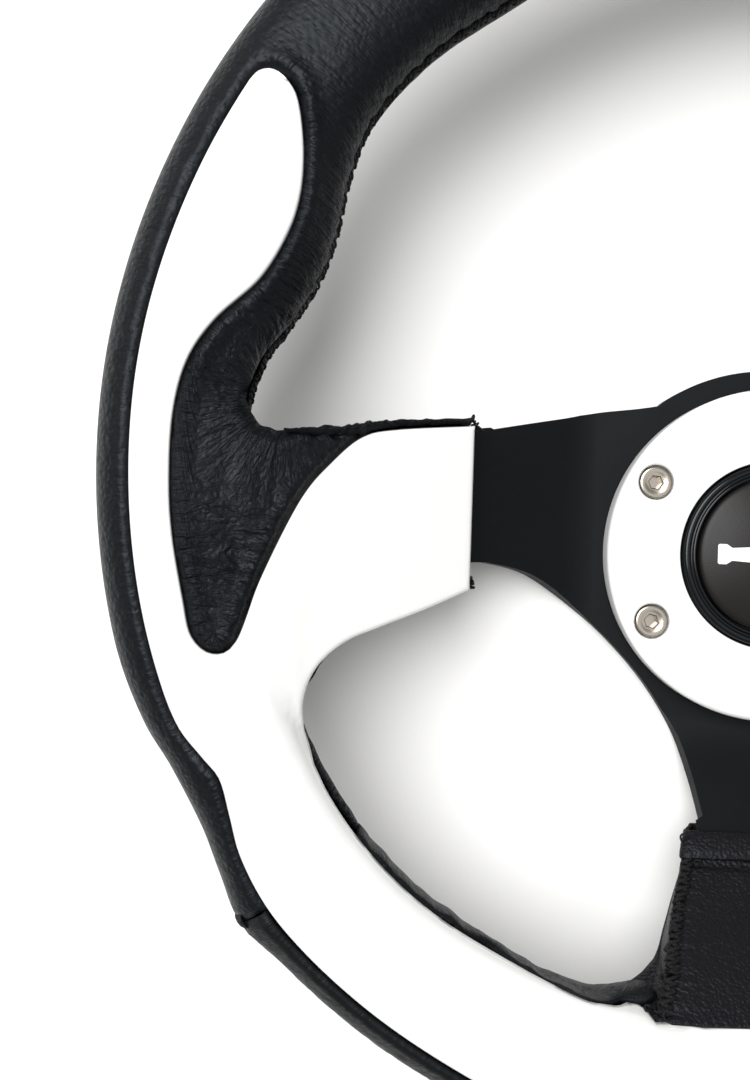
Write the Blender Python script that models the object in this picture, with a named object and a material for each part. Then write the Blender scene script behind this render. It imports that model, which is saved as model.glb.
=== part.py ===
"""A three-spoke sport steering wheel, lying face up on its hub plate.

Lengths below are millimetres and angles degrees; every mesh is written in metres.
+Z points at the driver, +Y is twelve o'clock, and z = 0 is the rear face of the hub
plate. Outlines are drawn about the rim's centre. FRAME_Y then moves the whole wheel so
that the origin is below the middle of its outer box. The clock angle runs from twelve
o'clock down the left side to 180 at six o'clock, and the right side mirrors the left.
The turn runs round the rim's section: 0 outside, 90 front, 180 inside, 270 rear.
"""

import math

import bmesh
import bpy
from mathutils import Vector
from mathutils.geometry import delaunay_2d_cdt

MM = 0.001
GAP = 0.35  # clearance left between neighbouring pieces

# Rim
RIM_Z = 47.4  # middle of the rim above the hub plate's rear face
RIM_HALF_HEIGHT = 13.4
RIM_SQUARENESS = 2.6  # superellipse power of the rim's section
RIM_OUTER = [
    (0, 160.8), (104, 160.8), (111, 159.4), (115, 157.4), (120, 157.0),
    (124, 158.8), (128, 161.2), (132, 159.6),
    (140, 158.0), (150, 156.2), (165, 155.8), (180, 155.8),
]
RIM_INNER = [
    (0, 125.2), (36, 125.4), (46, 127.4), (55, 127.4), (61, 124.4), (66, 121.4),
    (71, 120.8), (75.5, 123.0), (80, 127.0), (84.5, 129.0), (90, 128.0), (112, 128.0),
    (122, 128.8), (134, 128.3), (142, 126.6), (150, 124.4), (158, 122.0), (180, 122.0),
]
FRAME_Y = (RIM_OUTER[-1][1] - RIM_OUTER[0][1]) / 2
HUB_Y = -17.3  # the steering axis, below the rim's centre

# Rim core and foam
CORE_INNER, CORE_OUTER = 139.6, 149.6
CORE_Z = (42.6, 49.6)
FOAM_INSET, FOAM_FRONT_INSET = 2.3, 3.75  # below the leather, below the inlay

# Leather
LEATHER = 1.2
SEAM_HALF_TURN = 0.9
UPPER_END = 56.8  # clock angle where the upper cover meets the side covers
SIDE_START = 57.1
PANEL_SEAM = 127.8  # clock angle of the stitched joint between side and lower covers
SEAM_STEP = 0.3  # clock angle of half the gap at that joint

# Inlay
INLAY = 2.2
INLAY_OUTER = [
    (59.2, 151.0), (66, 151.4), (80, 152.0), (95, 152.0), (107, 151.7), (112, 151.0),
    (115, 148.6), (117, 147.2), (120, 148.8), (123, 151.0), (127, 152.2), (131, 152.2),
    (138, 151.0), (148, 149.0), (160, 147.7), (180, 147.1),
]
INLAY_TIP = [(-129.6, 77.4), (-127.6, 79.4), (-124.6, 79.6), (-121.6, 77.4)]
INLAY_THUMB = [
    (-119.2, 73.2), (-117.8, 63.7), (-118.2, 54.3), (-120.7, 45.8), (-126.1, 36.4),
    (-135.0, 27.6), (-140.4, 19.0), (-142.9, 8.0), (-143.2, -5.6), (-142.2, -17.0),
    (-139.6, -30.0), (-137.6, -37.6), (-133.3, -41.0), (-128.8, -38.6), (-124.4, -25.6),
    (-116.8, -8.6), (-110.8, -0.4), (-104.0, 6.0), (-96.0, 8.4), (-78.0, 10.9),
]
INLAY_LOWER = [
    (-78.0, -27.5), (-87.6, -31.7), (-98.9, -36.0), (-106.0, -38.9), (-111.0, -42.9),
    (-113.7, -47.2), (-114.9, -52.5), (-114.3, -58.5),
]
INLAY_INNER = [
    (119.5, 129.3), (123, 129.7), (128, 129.7), (134, 129.2), (140, 128.2), (146, 126.8),
    (152, 125.2), (157, 123.4),
]
INLAY_FOOT_Y = -117.9  # top edge of the inlay below the bottom spoke's cover
INLAY_FOOT_X = 38.5
INLAY_FOOT_Z = 52.4
FOOT_ZONE_Y = -100.0  # below this the front height follows the bottom spoke

# Side spoke: front face rises from the inlay's cut end to the rim
SPOKE_END_X, SPOKE_END_Z = 78.0, 29.5
SPOKE_SLOPE = 0.6
SPOKE_CREST_Z = 58.4
SLEEVE_TOP = [
    (-79.0, 12.7), (-91.0, 11.2), (-100.0, 9.7), (-108.0, 7.9), (-117.5, 6.5),
    (-123.0, 6.2),
]
SLEEVE_BOTTOM = [
    (-79.0, -27.6), (-88.0, -31.4), (-98.9, -35.6), (-106.0, -38.5), (-110.6, -42.6),
    (-113.6, -47.6),
]
SLEEVE_CLOCK = (86.4, 114.0)  # where the sleeve meets the inside of the rim
SLEEVE_BELOW_PLATE = 3.0

# Bottom spoke cover: (y, half width) and (y, height) down its length
COVER_TOP_Y, COVER_END_Y = -86.0, -117.4
COVER_FRONT = [(-117.4, 35.6), (-109.4, 31.6), (-103.0, 28.6), (-94.4, 24.4), (-86.0, 20.6)]
COVER_SIDE = [(-117.4, 38.0), (-113.0, 34.0), (-104.0, 28.4), (-93.0, 23.8), (-86.0, 20.9)]
COVER_Z = [(-117.4, 52.0), (-109.0, 45.0), (-100.0, 35.0), (-93.0, 28.0), (-86.0, 22.9)]
COVER_STATIONS = (-86.0, -90.0, -94.5, -99.5, -104.5, -109.0, -113.5, -117.4)
COLLAR_STATIONS = (-84.4, -87.3, -90.2)
COLLAR_THICK = 1.3

# Hub plate
PLATE = 4.0
PLATE_TAB_Z = 38.3
HUB_RADIUS = 47.4
HUB_HOLE = 21.5
SIDE_BEND = (50.0, 118.0)  # x where the side arms start and stop climbing
BOTTOM_BEND = (47.0, 99.7)  # distance below the steering axis, for the bottom arm
PLATE_TOP = [(-28.5, 37.6), (-33.5, 36.7), (-50.0, 34.3), (-75.0, 28.6)]
PLATE_FLANK = [
    (-75.0, -3.9), (-62.3, -7.0), (-46.9, -17.0), (-36.0, -27.0), (-27.8, -37.0),
    (-22.0, -47.0), (-19.4, -57.2), (-18.1, -67.4),
]
SIDE_TAB = (-148.0, 21.5, -3.9)
BOTTOM_TAB = (-19.0, -130.7)

# Fasteners on a six-hole circle, as a steering hub has
BOLT_CIRCLE = 35.0
BOLT_ANGLES = (30, 90, 150, 210, 270, 330)
BOLT_HOLE = 2.8
RIVET_SHANK, RIVET_HEAD, RIVET_DOME = 2.3, 3.6, 1.1
RIVET_CLOCKS = (90.2, 95.6)
BOTTOM_RIVET_CLOCK = 175.2

# Horn ring and horn push, heights above the plate's rear face
RING_OUTER, RING_INNER = 42.0, 23.7
RING_Z = (4.3, 10.7)
SCREW_HEAD, SCREW_SHANK = 4.1, 2.5
HEX_KEY = 3.0
COUNTERBORE_DEPTH = 3.5
BEZEL_RADIUS, BEZEL_BORE = 23.1, 19.85
BEZEL_CREST_Z = 11.4
HORN_FLOOR_Z = (1.6, 3.0)  # floor of the housing below the cap
HORN_FLOOR_HOLE = 2.5
CAP_RADIUS = 19.4
CAP_RIM_Z, CAP_CREST_Z = 12.2, 15.2
CAP_ROOF_Z, CAP_BORE = 11.0, 17.6
CAP_FLANGE, CAP_FLANGE_Z = 20.5, (7.7, 8.4)  # keeps the cap in its housing
HORN_TRAVEL = 1.5
CONTACT_INNER, CONTACT_OUTER = 12.2, 14.8
FIXED_CONTACT_Z = (3.3, 4.6)
MOVING_CONTACT_Z = (FIXED_CONTACT_Z[1] + HORN_TRAVEL + 0.1, 10.7)
SPRING_RADIUS, SPRING_WIRE, SPRING_TURNS = 7.0, 0.45, 4
SPRING_Z = (3.35, 10.65)
TERMINAL_X, TERMINAL_HALF_LENGTH, TERMINAL_HALF_WIDTH = 10.0, 4.0, 1.6
TERMINAL_Z = (0.3, 1.2)

# Thread
THREAD = 0.4
THREAD_CLEAR = 0.9  # thread's centre above the leather


def clear_scene():
    for item in list(bpy.data.objects):
        bpy.data.objects.remove(item, do_unlink=True)


def make_material(name, colour, roughness, metallic=0.0):
    material = bpy.data.materials.new(name)
    material.use_nodes = True
    shader = material.node_tree.nodes["Principled BSDF"]
    shader.inputs["Base Color"].default_value = (*colour, 1.0)
    shader.inputs["Roughness"].default_value = roughness
    shader.inputs["Metallic"].default_value = metallic
    material.diffuse_color = (*colour, 1.0)
    return material


def make_object(name, points, faces, material, origin=(0.0, 0.0, 0.0), angle=35):
    """An object from points in millimetres about the rim's centre. origin is its pivot."""
    pivot = Vector(origin)
    mesh = bpy.data.meshes.new(name)
    mesh.from_pydata([(Vector(point) - pivot) * MM for point in points], [], faces)
    mesh.validate()
    mesh.materials.append(material)
    mesh.shade_smooth()
    mesh.set_sharp_from_angle(angle=math.radians(angle))
    item = bpy.data.objects.new(name, mesh)
    item.location = (pivot + Vector((0.0, FRAME_Y, 0.0))) * MM
    bpy.context.scene.collection.objects.link(item)
    return item


def hide_as_cutter(item):
    item.hide_render = True
    item.display_type = "WIRE"
    return item


def cut(item, cutter):
    modifier = item.modifiers.new("cut_" + cutter.name, "BOOLEAN")
    modifier.operation = "DIFFERENCE"
    modifier.object = cutter


def thicken(item, thickness, offset=-1.0, even=False):
    """Gives a surface its thickness: inwards for offset -1, outwards for 1."""
    modifier = item.modifiers.new("thickness", "SOLIDIFY")
    modifier.thickness = thickness * MM
    modifier.offset = offset
    modifier.use_even_offset = even


def read_table(table, at):
    """A smooth curve through (position, value) pairs, flat beyond both ends."""
    if at <= table[0][0]:
        return table[0][1]
    if at >= table[-1][0]:
        return table[-1][1]
    step = next(i for i in range(len(table) - 1) if at <= table[i + 1][0])

    def slope(i):
        if i in (0, len(table) - 1):
            return 0.0
        (a, before), (b, after) = table[i - 1], table[i + 1]
        return (after - before) / (b - a)

    (start, low), (end, high) = table[step], table[step + 1]
    span = end - start
    t = (at - start) / span
    return (
        low * (1 + 2 * t) * (1 - t) ** 2
        + slope(step) * span * t * (1 - t) ** 2
        + high * t * t * (3 - 2 * t)
        + slope(step + 1) * span * t * t * (t - 1)
    )


def spline(points, spacing, closed=False):
    """Points about spacing apart on a Catmull-Rom curve through the given plan points."""
    corners = [Vector(point) for point in points]
    count = len(corners)
    found = []
    for i in range(count if closed else count - 1):
        if closed:
            a, b, c, d = (corners[(i + k) % count] for k in (-1, 0, 1, 2))
        else:
            a, b = corners[max(i - 1, 0)], corners[i]
            c, d = corners[i + 1], corners[min(i + 2, count - 1)]
        steps = max(1, round((c - b).length / spacing))
        for k in range(steps):
            t = k / steps
            found.append(
                0.5 * (2 * b + (c - a) * t + (2 * a - 5 * b + 4 * c - d) * t * t
                       + (3 * b - a - 3 * c + d) * t ** 3)
            )
    return found if closed else [*found, corners[-1]]


def clock_of(x, y):
    return math.degrees(math.atan2(abs(x), y))


def polar(clock, radius):
    angle = math.radians(clock)
    return Vector((-radius * math.sin(angle), radius * math.cos(angle)))


def section_of(clock):
    """The rim section's middle radius and half width."""
    inner = read_table(RIM_INNER, abs(clock))
    outer = read_table(RIM_OUTER, abs(clock))
    return (inner + outer) / 2, (outer - inner) / 2


def bulged(value, power):
    return math.copysign(abs(value) ** power, value)


def rim_point(clock, turn, inset=0.0):
    middle, half = section_of(clock)
    across = bulged(math.cos(math.radians(turn)), 2 / RIM_SQUARENESS)
    above = bulged(math.sin(math.radians(turn)), 2 / RIM_SQUARENESS)
    x, y = polar(clock, middle + (half - inset) * across)
    return Vector((x, y, RIM_Z + (RIM_HALF_HEIGHT - inset) * above))


def turn_at(clock, radius):
    """The turn at which the rim's front face passes over this radius."""
    middle, half = section_of(clock)
    across = max(-1.0, min(1.0, (radius - middle) / half))
    return math.degrees(math.acos(bulged(across, RIM_SQUARENESS / 2)))


def front_height(x, y):
    """Height of the covered front: the rim's crown, joined by the rising spoke faces."""
    radius = math.hypot(x, y)
    middle, half = section_of(clock_of(x, y))
    across = abs(radius - middle) / half
    crown = 0.0
    if across < 1:
        crown = (1 - across ** RIM_SQUARENESS) ** (1 / RIM_SQUARENESS)
        crown = RIM_Z + RIM_HALF_HEIGHT * crown
    if radius > middle:
        return max(crown, RIM_Z)
    if y < FOOT_ZONE_Y:
        rise = INLAY_FOOT_Z + SPOKE_SLOPE * (INLAY_FOOT_Y - y)
    else:
        rise = SPOKE_END_Z + SPOKE_SLOPE * (abs(x) - SPOKE_END_X)
    return max(crown, min(rise, SPOKE_CREST_Z))


# ---------------------------------------------------------------- shared shapes


def grid_faces(rows, columns, closed=False):
    faces = []
    for i in range(rows - 1):
        for j in range(columns if closed else columns - 1):
            k = (j + 1) % columns
            a, b = i * columns + j, i * columns + k
            faces.append((a, b, b + columns, a + columns))
    return faces


def make_sheet(name, rows, material, thickness, flip=False):
    """A thin piece from rows of points on its outer face, thickened inwards."""
    columns = len(rows[0])
    faces = grid_faces(len(rows), columns)
    if flip:
        faces = [face[::-1] for face in faces]
    points = [point for row in rows for point in row]
    sheet = make_object(name, points, faces, material)
    thicken(sheet, thickness)
    return sheet


def fill_outline(loops, inside=(), lines=()):
    """Triangles that fill the first loop, leaving out the loops after it."""
    points, edges = [], []
    for loop in loops:
        start, count = len(points), len(loop)
        points += [Vector(point).to_2d() for point in loop]
        edges += [(start + k, start + (k + 1) % count) for k in range(count)]
    outer = list(range(len(loops[0])))
    for line in lines:
        edges.append((len(points), len(points) + 1))
        points += [Vector(point) for point in line]
    points += [Vector(point).to_2d() for point in inside]
    found = delaunay_2d_cdt(points, edges, [outer], 1, 1e-4)
    placed, triangles = found[0], found[2]
    kept = []
    for triangle in triangles:
        middle = sum((placed[k] for k in triangle), Vector((0.0, 0.0))) / 3
        if not any(is_inside(middle, hole) for hole in loops[1:]):
            kept.append(tuple(triangle))
    return placed, kept


def is_inside(point, loop):
    crossings = 0
    for a, b in zip(loop, [*loop[1:], loop[0]]):
        if (a[1] > point[1]) != (b[1] > point[1]):
            along = (point[1] - a[1]) / (b[1] - a[1])
            crossings += point[0] < a[0] + along * (b[0] - a[0])
    return crossings % 2 == 1


def distance_to_loop(point, loop):
    nearest = 1e9
    for a, b in zip(loop, [*loop[1:], loop[0]]):
        a, side = Vector(a[:2]), Vector(b[:2]) - Vector(a[:2])
        along = (point - a).dot(side) / max(side.length_squared, 1e-9)
        nearest = min(nearest, (point - a - side * max(0.0, min(1.0, along))).length)
    return nearest


def points_between(loop, spacing):
    """A staggered grid of points inside the loop, away from its edge."""
    low_x, high_x = min(p[0] for p in loop), max(p[0] for p in loop)
    low_y, high_y = min(p[1] for p in loop), max(p[1] for p in loop)
    found = []
    for row in range(int((high_y - low_y) / spacing) + 1):
        for column in range(int((high_x - low_x) / spacing) + 2):
            point = Vector((
                low_x + (column - 0.5 * (row % 2)) * spacing, low_y + row * spacing,
            ))
            if is_inside(point, loop) and distance_to_loop(point, loop) > 0.55 * spacing:
                found.append(point)
    return found


def make_front_skin(name, loop, material, thickness, spacing=7.0, edge_rows=()):
    """A thin piece that lies on the front face inside a plan outline.

    edge_rows are extra points where the face turns steeply down beside its edge.
    """
    inside = [p for p in points_between(loop, spacing)
              if all((p - row).length > 0.4 * spacing for row in edge_rows)]
    placed, triangles = fill_outline([loop], [*inside, *edge_rows])
    points = [Vector((p.x, p.y, front_height(p.x, p.y))) for p in placed]
    a, b, c = (placed[k] for k in triangles[0])
    if (b - a).cross(c - a) < 0:
        triangles = [triangle[::-1] for triangle in triangles]
    skin = make_object(name, points, triangles, material)
    thicken(skin, thickness)
    return skin


def make_lathe(name, profile, material, centre=(0.0, 0.0), segments=48, closed=True):
    """A turned piece: (radius, height) points spun about a vertical axis."""
    origin = Vector((*centre, 0.0))
    mesh = bmesh.new()
    corners = [mesh.verts.new((radius * MM, 0.0, height * MM)) for radius, height in profile]
    pairs = zip(corners, [*corners[1:], corners[0]] if closed else corners[1:])
    edges = [mesh.edges.new(pair) for pair in pairs]
    bmesh.ops.spin(
        mesh, geom=corners + edges, axis=(0, 0, 1), cent=(0, 0, 0), dvec=(0, 0, 0),
        angle=math.tau, steps=segments, use_merge=False,
    )
    bmesh.ops.remove_doubles(mesh, verts=mesh.verts, dist=1e-6)
    bmesh.ops.recalc_face_normals(mesh, faces=mesh.faces)
    data = bpy.data.meshes.new(name)
    mesh.to_mesh(data)
    mesh.free()
    data.materials.append(material)
    data.shade_smooth()
    data.set_sharp_from_angle(angle=math.radians(30))
    item = bpy.data.objects.new(name, data)
    item.location = (origin + Vector((0.0, FRAME_Y, 0.0))) * MM
    bpy.context.scene.collection.objects.link(item)
    return item


def make_block(name, low, high, material):
    corners = [
        (x, y, z) for z in (low[2], high[2]) for y in (low[1], high[1])
        for x in (low[0], high[0])
    ]
    faces = [
        (0, 2, 3, 1), (4, 5, 7, 6), (0, 1, 5, 4), (2, 6, 7, 3), (0, 4, 6, 2), (1, 3, 7, 5),
    ]
    return make_object(name, corners, faces, material)


def make_thread(name, points, material, radius=THREAD, sides=3):
    """A rod of a few flat sides that follows the points, closed at both ends."""
    rows = []
    for i, point in enumerate(points):
        before, after = points[max(i - 1, 0)], points[min(i + 1, len(points) - 1)]
        along = (after - before).normalized()
        across = along.orthogonal().normalized() if i == 0 else across
        across = (across - along * across.dot(along)).normalized()
        other = along.cross(across)
        rows.append([
            point + (across * math.cos(math.tau * k / sides)
                     + other * math.sin(math.tau * k / sides)) * radius
            for k in range(sides)
        ])
    faces = grid_faces(len(rows), sides, closed=True)
    faces = [tuple(range(sides - 1, -1, -1)), *faces]
    last = (len(rows) - 1) * sides
    faces.append(tuple(last + k for k in range(sides)))
    return make_object(name, [p for row in rows for p in row], faces, material)


def mirrored(points, side):
    """The same points on the other side of the wheel, for side -1."""
    return [Vector((point[0] * side, *point[1:])) for point in points]


# ---------------------------------------------------------------- rim core and foam


def make_rim_core(material):
    profile = [
        (CORE_INNER, CORE_Z[0]), (CORE_OUTER, CORE_Z[0]),
        (CORE_OUTER, CORE_Z[1]), (CORE_INNER, CORE_Z[1]),
    ]
    return make_lathe("rim_core", profile, material, segments=64)


def tab_blocks(grow):
    """The flat ends of the three plate arms, grown on every side: (name, low, high)."""
    low_z, high_z = PLATE_TAB_Z - grow, PLATE_TAB_Z + PLATE + grow
    inner, outer = SIDE_BEND[1] - 2, -SIDE_TAB[0] + grow
    top, bottom = SIDE_TAB[1] + HUB_Y + 2 + grow, SIDE_TAB[2] + HUB_Y - 2 - grow
    half, inner_y = -BOTTOM_TAB[0] + grow, HUB_Y - BOTTOM_BEND[1] + 2
    return [
        ("left", (-outer, bottom, low_z), (-inner, top, high_z)),
        ("right", (inner, bottom, low_z), (outer, top, high_z)),
        ("bottom", (-half, BOTTOM_TAB[1] + HUB_Y - grow, low_z), (half, inner_y, high_z)),
    ]


def rivet_places():
    places = {}
    radius = (CORE_INNER + CORE_OUTER) / 2
    for number, clock in enumerate(RIVET_CLOCKS, 1):
        places[f"left_spoke_rivet_{number}"] = polar(clock, radius)
        places[f"right_spoke_rivet_{number}"] = polar(-clock, radius)
    for number, side in enumerate((1, -1), 1):
        places[f"bottom_spoke_rivet_{number}"] = polar(side * BOTTOM_RIVET_CLOCK, radius)
    return places


def make_rivet(name, centre, material):
    rear, front = PLATE_TAB_Z - GAP, CORE_Z[1] + GAP
    flat = RIVET_HEAD - RIVET_DOME
    profile = [
        (0.0, rear - RIVET_DOME), (flat, rear - RIVET_DOME), (RIVET_HEAD, rear),
        (RIVET_SHANK, rear), (RIVET_SHANK, front), (RIVET_HEAD, front),
        (flat, front + RIVET_DOME), (0.0, front + RIVET_DOME),
    ]
    return make_lathe(name, profile, material, centre, segments=10, closed=False)


def rivet_cutter(name, centre, radius, low, high, material):
    profile = [(0.0, low), (radius, low), (radius, high), (0.0, high)]
    return hide_as_cutter(
        make_lathe(name, profile, material, centre, segments=12, closed=False)
    )


def make_rim_foam(material, cutters):
    clocks = [360 * step / 60 for step in range(60)]
    turns = [30 * step for step in range(12)]
    points = [
        rim_point(signed(clock), turn, foam_inset(turn)) for clock in clocks for turn in turns
    ]
    faces = grid_faces(len(clocks), len(turns), closed=True)
    last = (len(clocks) - 1) * len(turns)
    for k in range(len(turns)):
        after = (k + 1) % len(turns)
        faces.append((last + k, last + after, after, k))
    foam = make_object("rim_foam", points, faces, material)
    for cutter in cutters:
        cut(foam, cutter)
    return foam


def foam_inset(turn):
    """The foam lies deeper below the front face, where the inlay is thick."""
    front = min(1.0, 2 * max(0.0, math.sin(math.radians(turn))))
    return FOAM_INSET + (FOAM_FRONT_INSET - FOAM_INSET) * front


def signed(clock):
    return clock - 360 if clock > 180 else clock


# ---------------------------------------------------------------- rim leather


def spread(start, end, step):
    """Evenly spaced values from start to end, about step apart."""
    count = max(1, round(abs(end - start) / step))
    return [start + (end - start) * k / count for k in range(count + 1)]


def rim_rows(clocks, first_turn, last_turn, columns):
    rows = []
    for clock in clocks:
        start, end = first_turn(clock), last_turn(clock)
        turns = [start + (end - start) * k / columns for k in range(columns + 1)]
        rows.append([rim_point(clock, turn) for turn in turns])
    return rows


def make_upper_leather(material):
    rows = rim_rows(
        spread(-UPPER_END, UPPER_END, 5.2), lambda clock: SEAM_HALF_TURN - 180,
        lambda clock: 180 - SEAM_HALF_TURN, 14,
    )
    return make_sheet("upper_rim_leather", rows, material, LEATHER, flip=True)


def outer_edge_turn(clock):
    return turn_at(clock, read_table(INLAY_OUTER, abs(clock)) + 1.7 * GAP)


def make_side_leather(name, side, material):
    clocks = [
        *spread(SIDE_START, 104, 4.7), *spread(106, 126, 2.0), PANEL_SEAM - SEAM_STEP,
    ]

    def first(clock):
        return outer_edge_turn(max(abs(clock), INLAY_OUTER[0][0]))

    rows = rim_rows(
        [side * clock for clock in clocks], first, lambda clock: SEAM_HALF_TURN - 180, 11,
    )
    return make_sheet(name, rows, material, LEATHER, flip=side < 0)


def make_lower_leather(material):
    clocks = spread(PANEL_SEAM + SEAM_STEP, 360 - PANEL_SEAM - SEAM_STEP, 4.4)

    def last(clock):
        if abs(clock - 180) < 180 - INLAY_INNER[-1][0]:
            return -180.0
        radius = read_table(INLAY_INNER, min(clock, 360 - clock)) - 3 * GAP
        return turn_at(signed(clock), radius) - 360

    rows = []
    for clock in clocks:
        start, end = outer_edge_turn(signed(clock)), last(clock)
        turns = [start + (end - start) * k / 13 for k in range(14)]
        rows.append([rim_point(signed(clock), turn) for turn in turns])
    return make_sheet("lower_rim_leather", rows, material, LEATHER)


# ---------------------------------------------------------------- inlay and thumb grips


def thumb_line():
    """The inlay's edge beside the thumb grip, from its tip to the spoke's cut end."""
    return spline(INLAY_THUMB, 7.0)


def inlay_half():
    """The left half of the inlay's outline, from six o'clock out, up and back in."""
    outer_clocks = [
        *spread(178, 128, 5.0), *spread(126, 106, 2.0), *spread(104, 61.5, 4.7),
    ]
    outer = [polar(clock, read_table(INLAY_OUTER, clock)) for clock in outer_clocks]
    inner = [polar(clock, read_table(INLAY_INNER, clock)) for clock in spread(120, 157, 4.6)]
    foot = [Vector((-INLAY_FOOT_X + 1.5, INLAY_FOOT_Y)), Vector((-20.0, INLAY_FOOT_Y))]
    return [
        *outer, *spline(INLAY_TIP, 5.0), *thumb_line(), *spline(INLAY_LOWER, 7.0)[:-1],
        *inner, *foot,
    ]


def make_inlay(material):
    left = inlay_half()
    right = [Vector((-point.x, point.y)) for point in reversed(left)]
    rows = [
        polar(side * clock, read_table(INLAY_INNER, clock) + step)
        for side in (1, -1) for clock in spread(118, 155, 4.6) for step in (1.4, 4.2)
    ]
    return make_front_skin("front_inlay", [*left, *right], material, INLAY, edge_rows=rows)


def make_thumb_grip(name, side, material):
    edge = thumb_line()
    leaf = [point for point in edge if point.x < -105.0]
    offset = []
    for i, point in enumerate(leaf):
        along = leaf[min(i + 1, len(leaf) - 1)] - leaf[max(i - 1, 0)]
        normal = Vector((-along.y, along.x)).normalized()
        offset.append(point + normal * GAP * 1.7)
    top = [
        (-107.5, 6.9), (-113.0, 6.7), (-117.5, 6.3), (-122.5, 5.7), (-125.6, 7.2),
    ]
    inner = [polar(clock, read_table(RIM_INNER, clock) + 0.02) for clock in spread(85.6, 57.2, 3.4)]
    start = [polar(57.2, 133.0), polar(57.2, 138.5), Vector((-119.3, 75.9))]
    loop = [*[Vector(point) for point in top], *inner, *start, *offset]
    loop = mirrored(loop, side)
    rows = [
        polar(side * clock, read_table(RIM_INNER, clock) + step)
        for clock in spread(82, 59.5, 3.4) for step in (0.6, 2.4)
    ]
    return make_front_skin(name, loop, material, LEATHER, spacing=6.0, edge_rows=rows)


# ---------------------------------------------------------------- spoke leather


def plate_rear(x, y):
    """Height of the hub plate's rear face: flat at the hub, climbing along each arm."""
    if y < HUB_Y - BOTTOM_BEND[0]:
        start, end = BOTTOM_BEND
        along = HUB_Y - y
    else:
        start, end = SIDE_BEND
        along = abs(x)
    return PLATE_TAB_Z * max(0.0, min(1.0, (along - start) / (end - start)))


def make_sleeve(name, side, material):
    """The U-shaped leather round a side spoke, open at the front and at both ends."""
    rear_steps = (0.06, 0.25, 0.5, 0.75, 0.94)
    rows = []
    for top, bottom in zip(SLEEVE_TOP, SLEEVE_BOTTOM):
        top, bottom = Vector(top), Vector(bottom)
        plan = [top, top, top, *[top.lerp(bottom, t) for t in rear_steps], *[bottom] * 3]
        rows.append(sleeve_row(plan, rises=top.x > -101))
    clocks = [SLEEVE_CLOCK[0] + (SLEEVE_CLOCK[1] - SLEEVE_CLOCK[0]) * t for t in rear_steps]
    clocks = [SLEEVE_CLOCK[0]] * 3 + clocks + [SLEEVE_CLOCK[1]] * 3
    plan = [polar(clock, read_table(RIM_INNER, clock) - 2 * GAP) for clock in clocks]
    rows.append(sleeve_row(plan, rises=False))
    rows = [mirrored(row, side) for row in rows]
    return make_sheet(name, rows, material, LEATHER, flip=side < 0)


def sleeve_row(plan, rises):
    """One section of the sleeve; its upper wall rises beside the inlay or stops below."""
    below = INLAY + 2 * GAP + 0.3
    heights = [front_height(*point) for point in plan]
    rear = [plate_rear(*point) - SLEEVE_BELOW_PLATE for point in plan]
    first = heights[0] - (GAP if rises else below)
    last = heights[-1] - below
    walls = [first, (first + rear[0]) / 2, rear[0] + 2.5]
    far = [rear[-1] + 2.5, (last + rear[-1]) / 2, last]
    levels = [*walls, *rear[3:-3], *far]
    return [Vector((point.x, point.y, level)) for point, level in zip(plan, levels)]


def make_spoke_foam(name, side, material):
    """The firm filler between a side arm of the plate and the inlay."""
    rows = []
    inset = LEATHER + 2 * GAP
    for x in (-79.5, -88.0, -99.0, -106.0, -111.5):
        top = read_table(sorted(SLEEVE_TOP), x) - inset
        bottom = read_table(sorted(SLEEVE_BOTTOM), x) + inset + 1.0
        low = plate_rear(x, 0) + PLATE * 1.15 + GAP
        high = front_height(x, 0) - INLAY - 3 * GAP
        rows.append([
            Vector((x, top, low)), Vector((x, bottom, low)),
            Vector((x, bottom, high)), Vector((x, top, high)),
        ])
    rows = [mirrored(row, side) for row in rows]
    faces = grid_faces(len(rows), 4, closed=True)
    last = (len(rows) - 1) * 4
    faces += [(3, 2, 1, 0), tuple(last + k for k in range(4))]
    if side < 0:
        faces = [face[::-1] for face in faces]
    return make_object(name, [p for row in rows for p in row], faces, material)


def cover_row(y, grow=0.0, reach=0.0):
    """One section of the bottom spoke's cover, from the rear seam round the front.

    reach carries the sides and rear on towards the inside of the rim.
    """
    front, side = read_table(COVER_FRONT, y) + grow, read_table(COVER_SIDE, y) + grow
    sloped = grow * 1.45
    crown = read_table(COVER_Z, y) + sloped
    rear = plate_rear(0, y) - SLEEVE_BELOW_PLATE - sloped
    left = [
        (-0.6, rear), (-0.55 * side, rear), (-side + 1.6, rear), (-side, rear + 2.6),
        (-front - 0.5, crown - 1.8), (-front + 1.0, crown), (-0.5 * front, crown + 0.5),
    ]
    row = []
    for k, (x, z) in enumerate(left):
        radius = read_table(RIM_INNER, clock_of(x, y)) - 2 * GAP
        rim_y = -math.sqrt(radius ** 2 - x * x)
        carried = max(y, rim_y)
        if reach and k < 4:
            carried = y + reach * (rim_y - COVER_END_Y)
            z = max(z, plate_rear(0, carried) - SLEEVE_BELOW_PLATE)
        row.append(Vector((x, carried, z)))
    centre = Vector((0.0, y, crown + 0.6))
    return [*row, centre, *[Vector((-p.x, p.y, p.z)) for p in reversed(row)]]


def make_cover(material):
    span = COVER_END_Y - COVER_TOP_Y
    rows = [cover_row(y, reach=(y - COVER_TOP_Y) / span) for y in COVER_STATIONS]
    return make_sheet("bottom_spoke_leather", rows, material, LEATHER, flip=True)


def make_collar(material):
    rows = [cover_row(y, grow=GAP + COLLAR_THICK) for y in COLLAR_STATIONS]
    return make_sheet("bottom_spoke_collar", rows, material, COLLAR_THICK, flip=True)


# ---------------------------------------------------------------- thread


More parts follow.
